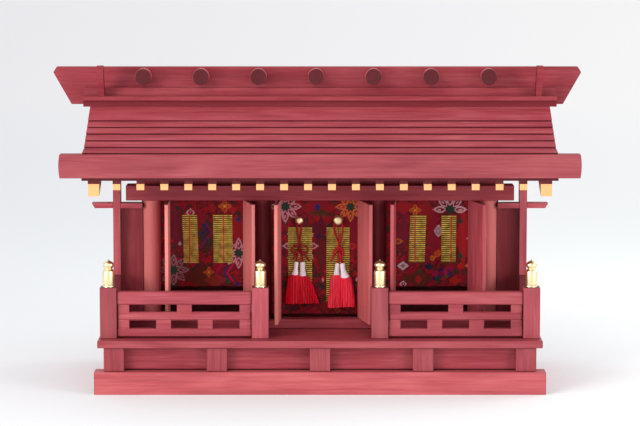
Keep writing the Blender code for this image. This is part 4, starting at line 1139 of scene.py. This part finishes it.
# Millimetres across and up. Each pair's stud with its radius, then each strand: points down to the
# head, points down the head with its radius at each, and the skirt's middle and half width at its
# top and at its foot. Last come the loops and ends of the pair's bow.
TASSELS = {
    "left": (
        (-24.9, 190.5, 5.3),
        (
            (
                (
                    (-27.6, 187.4), (-27.2, 178.0), (-25.6, 166.0), (-25.4, 158.0), (-27.2, 149.0),
                    (-28.4, 140.4),
                ),
                (
                    (-28.4, 141.0, 1.8), (-28.5, 139.2, 2.6), (-28.8, 134.0, 2.5), (-29.3, 129.0, 3.2),
                    (-30.0, 125.4, 4.4),
                ),
                ((-30.0, 125.6, 4.6), (-31.0, 90.8, 11.0)),
            ),
            (
                (
                    (-22.4, 187.4), (-22.6, 178.0), (-24.2, 166.0), (-24.2, 158.0), (-21.8, 149.0),
                    (-20.8, 140.4),
                ),
                (
                    (-20.8, 141.0, 2.2), (-20.8, 139.4, 3.2), (-20.9, 134.0, 3.0), (-20.6, 128.6, 3.4),
                    (-20.4, 123.8, 4.3),
                ),
                ((-20.4, 124.2, 4.6), (-11.8, 91.4, 11.2)),
            ),
        ),
        (
            ((-25.0, 160.5), (-31.0, 160.0), (-34.0, 155.0), (-31.0, 151.5), (-25.5, 157.0)),
            ((-24.8, 160.5), (-17.5, 161.0), (-14.5, 155.5), (-17.5, 151.5), (-24.4, 157.0)),
            ((-25.0, 158.0), (-29.5, 150.0), (-32.0, 143.5)),
            ((-24.6, 158.0), (-18.5, 149.5), (-12.5, 142.5)),
        ),
    ),
    "right": (
        (21.9, 190.5, 6.3),
        (
            (
                (
                    (16.8, 187.2), (17.4, 179.0), (20.6, 168.0), (24.2, 160.0), (23.6, 151.0),
                    (20.8, 138.8),
                ),
                (
                    (20.8, 139.4, 1.8), (20.7, 137.6, 2.7), (20.3, 133.0, 2.7), (20.0, 129.0, 3.1),
                    (19.9, 125.2, 3.9),
                ),
                ((19.4, 125.4, 4.6), (16.8, 86.2, 7.6)),
            ),
            (
                (
                    (26.8, 187.2), (27.0, 179.0), (25.4, 168.0), (22.4, 160.0), (23.6, 151.0),
                    (27.2, 138.8),
                ),
                (
                    (27.2, 139.4, 2.2), (27.2, 137.4, 3.1), (27.6, 132.0, 3.1), (28.8, 126.5, 4.2),
                    (30.2, 121.8, 6.0),
                ),
                ((30.4, 122.2, 6.8), (33.6, 87.0, 9.2)),
            ),
        ),
        (
            ((23.4, 160.0), (19.0, 157.5), (16.0, 152.5), (18.6, 151.0), (23.0, 157.5)),
            ((23.4, 159.5), (27.2, 156.0), (28.2, 151.0), (25.6, 150.0), (23.4, 157.0)),
            ((23.0, 158.0), (18.0, 150.0), (12.8, 141.6)), ((23.6, 158.0), (25.6, 148.0), (24.4, 141.0)),
        ),
    ),
}


# A stud's outline from its top to its foot: radius and height, as shares of the stud's own.
STUD_OUTLINE = (
    (0.1, 1.0), (0.4, 0.97), (0.68, 0.88), (0.87, 0.7), (0.97, 0.42), (1.0, 0.12), (1.0, 0.0),
)
CORD_TWIST = 1.6 * MM                   # from one rib of a cord's twist to the next
THREAD_BAND = 3.0 * MM                  # from one lighter band of skirt threads to the next
WRAP_PITCH = 0.9 * MM                   # from one turn of the white wrapping to the next
BOW_LIFT = 2.2 * MM                     # a bow lies this far in front of its strands
HEAD_DEPTH = 0.8                        # a wrapped head's depth, as a share of its width
TOP_DEPTH = 0.75                        # a skirt's depth at its top, as a share of its width
SKIRT_DEPTH = 4.6 * MM                  # half a skirt's depth at its foot


class SHRINE_OT_tassels(bpy.types.Operator):
    """Hangs two pairs of red tassels with white heads from their brass studs"""
    bl_idname = "shrine.tassels"
    bl_label = "Tassels"

    def execute(self, context):
        silk = context.scene.shrine_threads
        brass = polished_brass("Worn brass", 0.12)
        # The left pair's cord and thread colours are painted shade, darker copies of the right pair's.
        cords = [
            silk_thread("Plied rayon cord in painted shade", silk.shaded_cord_floss, silk.shaded_cord_twist, CORD_TWIST),
            silk_thread("Plied rayon cord", silk.red_floss, silk.red_floss_shade, CORD_TWIST),
        ]
        threads = [
            silk_thread(name, light, shade, THREAD_BAND, "X") for name, light, shade in (
                ("Rayon threads in painted shade", silk.shaded_thread_floss, silk.shaded_thread_gaps),
                ("Scarlet rayon threads", silk.scarlet_floss, silk.scarlet_shade),
            )
        ]
        wraps = silk_thread("White rayon wrapping", silk.white_floss, silk.white_shade, WRAP_PITCH, "Z")
        skirt = self.skirt()
        for seed, (side, (stud, strands, bow)) in enumerate(TASSELS.items()):
            self.stud(side, stud, brass)
            hang = middle(f"tassel_{side}")[2].y
            shape = bmesh.new()
            for loop in bow:
                path = smooth_path([(x * MM, hang - BOW_LIFT, z * MM) for x, z in loop])
                tube(shape, path, [silk.cord_radius] * len(path), sides=10)
            tied = new_piece(f"bow_{side}", mesh_of("bow", shape, 60), cords[seed])
            for number, (route, head, (top, foot)) in enumerate(strands):
                name = f"{side}_{number + 1}"
                path = smooth_path([(x * MM, hang, z * MM) for x, z in route])
                shape = bmesh.new()
                tube(shape, path, [silk.cord_radius] * len(path))
                shown = mesh_of("strand", shape, 60)
                strand = new_piece(f"tassel_strand_{name}", shown, cords[seed])
                shape = bmesh.new()
                down = smooth_path(head)
                tube(
                    shape, [(x * MM, hang, z * MM) for x, z, _ in down], [r * MM for _, _, r in down],
                    sides=24, depth=HEAD_DEPTH,
                )
                wrapped = new_piece(f"tassel_head_{name}", mesh_of("head", shape, 50), wraps)
                hanging = grow(
                    f"tassel_skirt_{name}", skirt, threads[seed], "silk", smooth=60, Count=silk.threads,
                    Seed=2 * seed + number, Thread=silk.thread_radius,
                    Top=(top[0] * MM, hang, top[1] * MM),
                    Top_Reach=(top[2] * MM, TOP_DEPTH * top[2] * MM, 0),
                    Foot=(foot[0] * MM, hang, foot[1] * MM), Foot_Reach=(foot[2] * MM, SKIRT_DEPTH, 0),
                )
            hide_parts(f"tassel_cord_{side}", f"tassel_{side}")
        return {"FINISHED"}

    @staticmethod
    def stud(side, place, brass):
        """A domed brass stud that faces the front."""
        x, z, radius = place
        low, high, _ = middle(f"stud_{side}")
        shape = bmesh.new()
        turned = Matrix.Translation((x * MM, high.y, z * MM)) @ Matrix.Rotation(math.pi / 2, 4, "X")
        lathe(shape, [(r * radius * MM, h * (high.y - low.y)) for r, h in STUD_OUTLINE], turned)
        piece = new_piece(f"brass_stud_{side}", mesh_of("stud", shape, 40), brass)
        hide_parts(f"stud_{side}")

    @staticmethod
    def skirt():
        """Threads that hang from a small oval and spread to a larger one.

        Each is first a straight line down through a point of a disc of radius 1. A power under a half
        sends more of the points to the rim. Its height from 0 to -1 then gives the share of the way to
        the foot, and near the head the skirt flares faster. A thread strays more, the lower it hangs.
        """
        tree, entry, end = geometry_tree("Thread skirt", {
            "Count": ("Int", 200), "Seed": ("Int", 0), "Thread": ("Float", 0.3 * MM),
            "Top": ("Vector", None), "Top Reach": ("Vector", None),
            "Foot": ("Vector", None), "Foot Reach": ("Vector", None),
        })
        next_seed = add(tree, "ShaderNodeMath", n0=entry["Seed"], n1=50.0)
        draw = add(tree, "FunctionNodeRandomValue", Seed=entry["Seed"]).outputs[1]
        spin = add(tree, "FunctionNodeRandomValue", n3=math.tau, Seed=next_seed).outputs[1]
        out = add(tree, "ShaderNodeMath", "POWER", n0=draw, n1=0.42)
        cosine = add(tree, "ShaderNodeMath", "COSINE", n0=spin)
        sine = add(tree, "ShaderNodeMath", "SINE", n0=spin)
        disc = add(tree, "ShaderNodeCombineXYZ", X=cosine, Y=sine)
        spot = add(tree, "ShaderNodeVectorMath", "SCALE", n0=disc, Scale=out)
        points = add(tree, "GeometryNodePoints", Count=entry["Count"], Position=spot)
        line = add(tree, "GeometryNodeCurvePrimitiveLine", End=(0, 0, -1))
        fine = add(tree, "GeometryNodeResampleCurve", Curve=line, Count=10)
        put = add(tree, "GeometryNodeInstanceOnPoints", Points=points, Instance=fine)
        real = add(tree, "GeometryNodeRealizeInstances", Geometry=put)
        place = add(tree, "GeometryNodeInputPosition")
        up = add(tree, "ShaderNodeSeparateXYZ", Vector=place).outputs["Z"]
        down = add(tree, "ShaderNodeMath", "MULTIPLY", n0=up, n1=-1.0)
        flare = add(tree, "ShaderNodeMath", "POWER", n0=down, n1=0.32)
        centre, reach = (
            add(tree, "ShaderNodeMix", {"data_type": "VECTOR"}, n0=share, n4=top, n5=foot).outputs[1]
            for share, top, foot in (
                (down, entry["Top"], entry["Foot"]), (flare, entry["Top Reach"], entry["Foot Reach"]),
            )
        )
        spread = add(tree, "ShaderNodeVectorMath", "MULTIPLY", n0=place, n1=reach)
        whole = add(tree, "ShaderNodeVectorMath", "ADD", n0=centre, n1=spread)
        wild = add(tree, "ShaderNodeTexNoise", Vector=place, Scale=3.0, Detail=2.0).outputs["Color"]
        lean = add(tree, "ShaderNodeVectorMath", "SUBTRACT", n0=wild, n1=(0.5, 0.5, 0.5))
        stray = add(tree, "ShaderNodeMath", "MULTIPLY", n0=down, n1=4.5 * MM)
        sway = add(tree, "ShaderNodeVectorMath", "SCALE", n0=lean, Scale=stray)
        moved = add(tree, "GeometryNodeSetPosition", Geometry=real, Position=whole, Offset=sway)
        ring = add(tree, "GeometryNodeCurvePrimitiveCircle", Resolution=4, Radius=entry["Thread"])
        tubes = add(tree, "GeometryNodeCurveToMesh", Curve=moved, Profile_Curve=ring, Fill_Caps=True)
        end(tubes)
        return tree


OPERATORS = (
    SHRINE_OT_stage, SHRINE_OT_tassels, SHRINE_OT_curtains, SHRINE_OT_base, SHRINE_OT_railings,
    SHRINE_OT_front, SHRINE_OT_screens, SHRINE_OT_room, SHRINE_OT_roof, SHRINE_OT_ridge,
)


class SHRINE_PT_panel(bpy.types.Panel):
    """Lists the shelf's groups of pieces"""
    bl_idname = "SHRINE_PT_panel"
    bl_label = "Shrine Shelf"
    bl_space_type = "VIEW_3D"
    bl_region_type = "UI"
    bl_category = "Shrine Shelf"

    def draw(self, context):
        for operator in OPERATORS:
            self.layout.operator(operator.bl_idname)
        for name, group in GROUPS.items():
            values = getattr(context.scene, name)
            box = self.layout.box()
            for key in group.__annotations__:
                box.prop(values, key)


CLASSES = (*GROUPS.values(), *OPERATORS, SHRINE_PT_panel)


def register():
    """Makes the classes and each group of properties known."""
    for kind in CLASSES:
        bpy.utils.register_class(kind)
    for name, group in GROUPS.items():
        setattr(bpy.types.Scene, name, bpy.props.PointerProperty(type=group))


def unregister():
    """Takes back what register did."""
    for name in GROUPS:
        delattr(bpy.types.Scene, name)
    for kind in reversed(CLASSES):
        bpy.utils.unregister_class(kind)


def main():
    """Makes every group of pieces."""
    register()
    for operator in OPERATORS:
        group, name = operator.bl_idname.split(".")
        getattr(getattr(bpy.ops, group), name)()


if __name__ == "__main__":
    main()
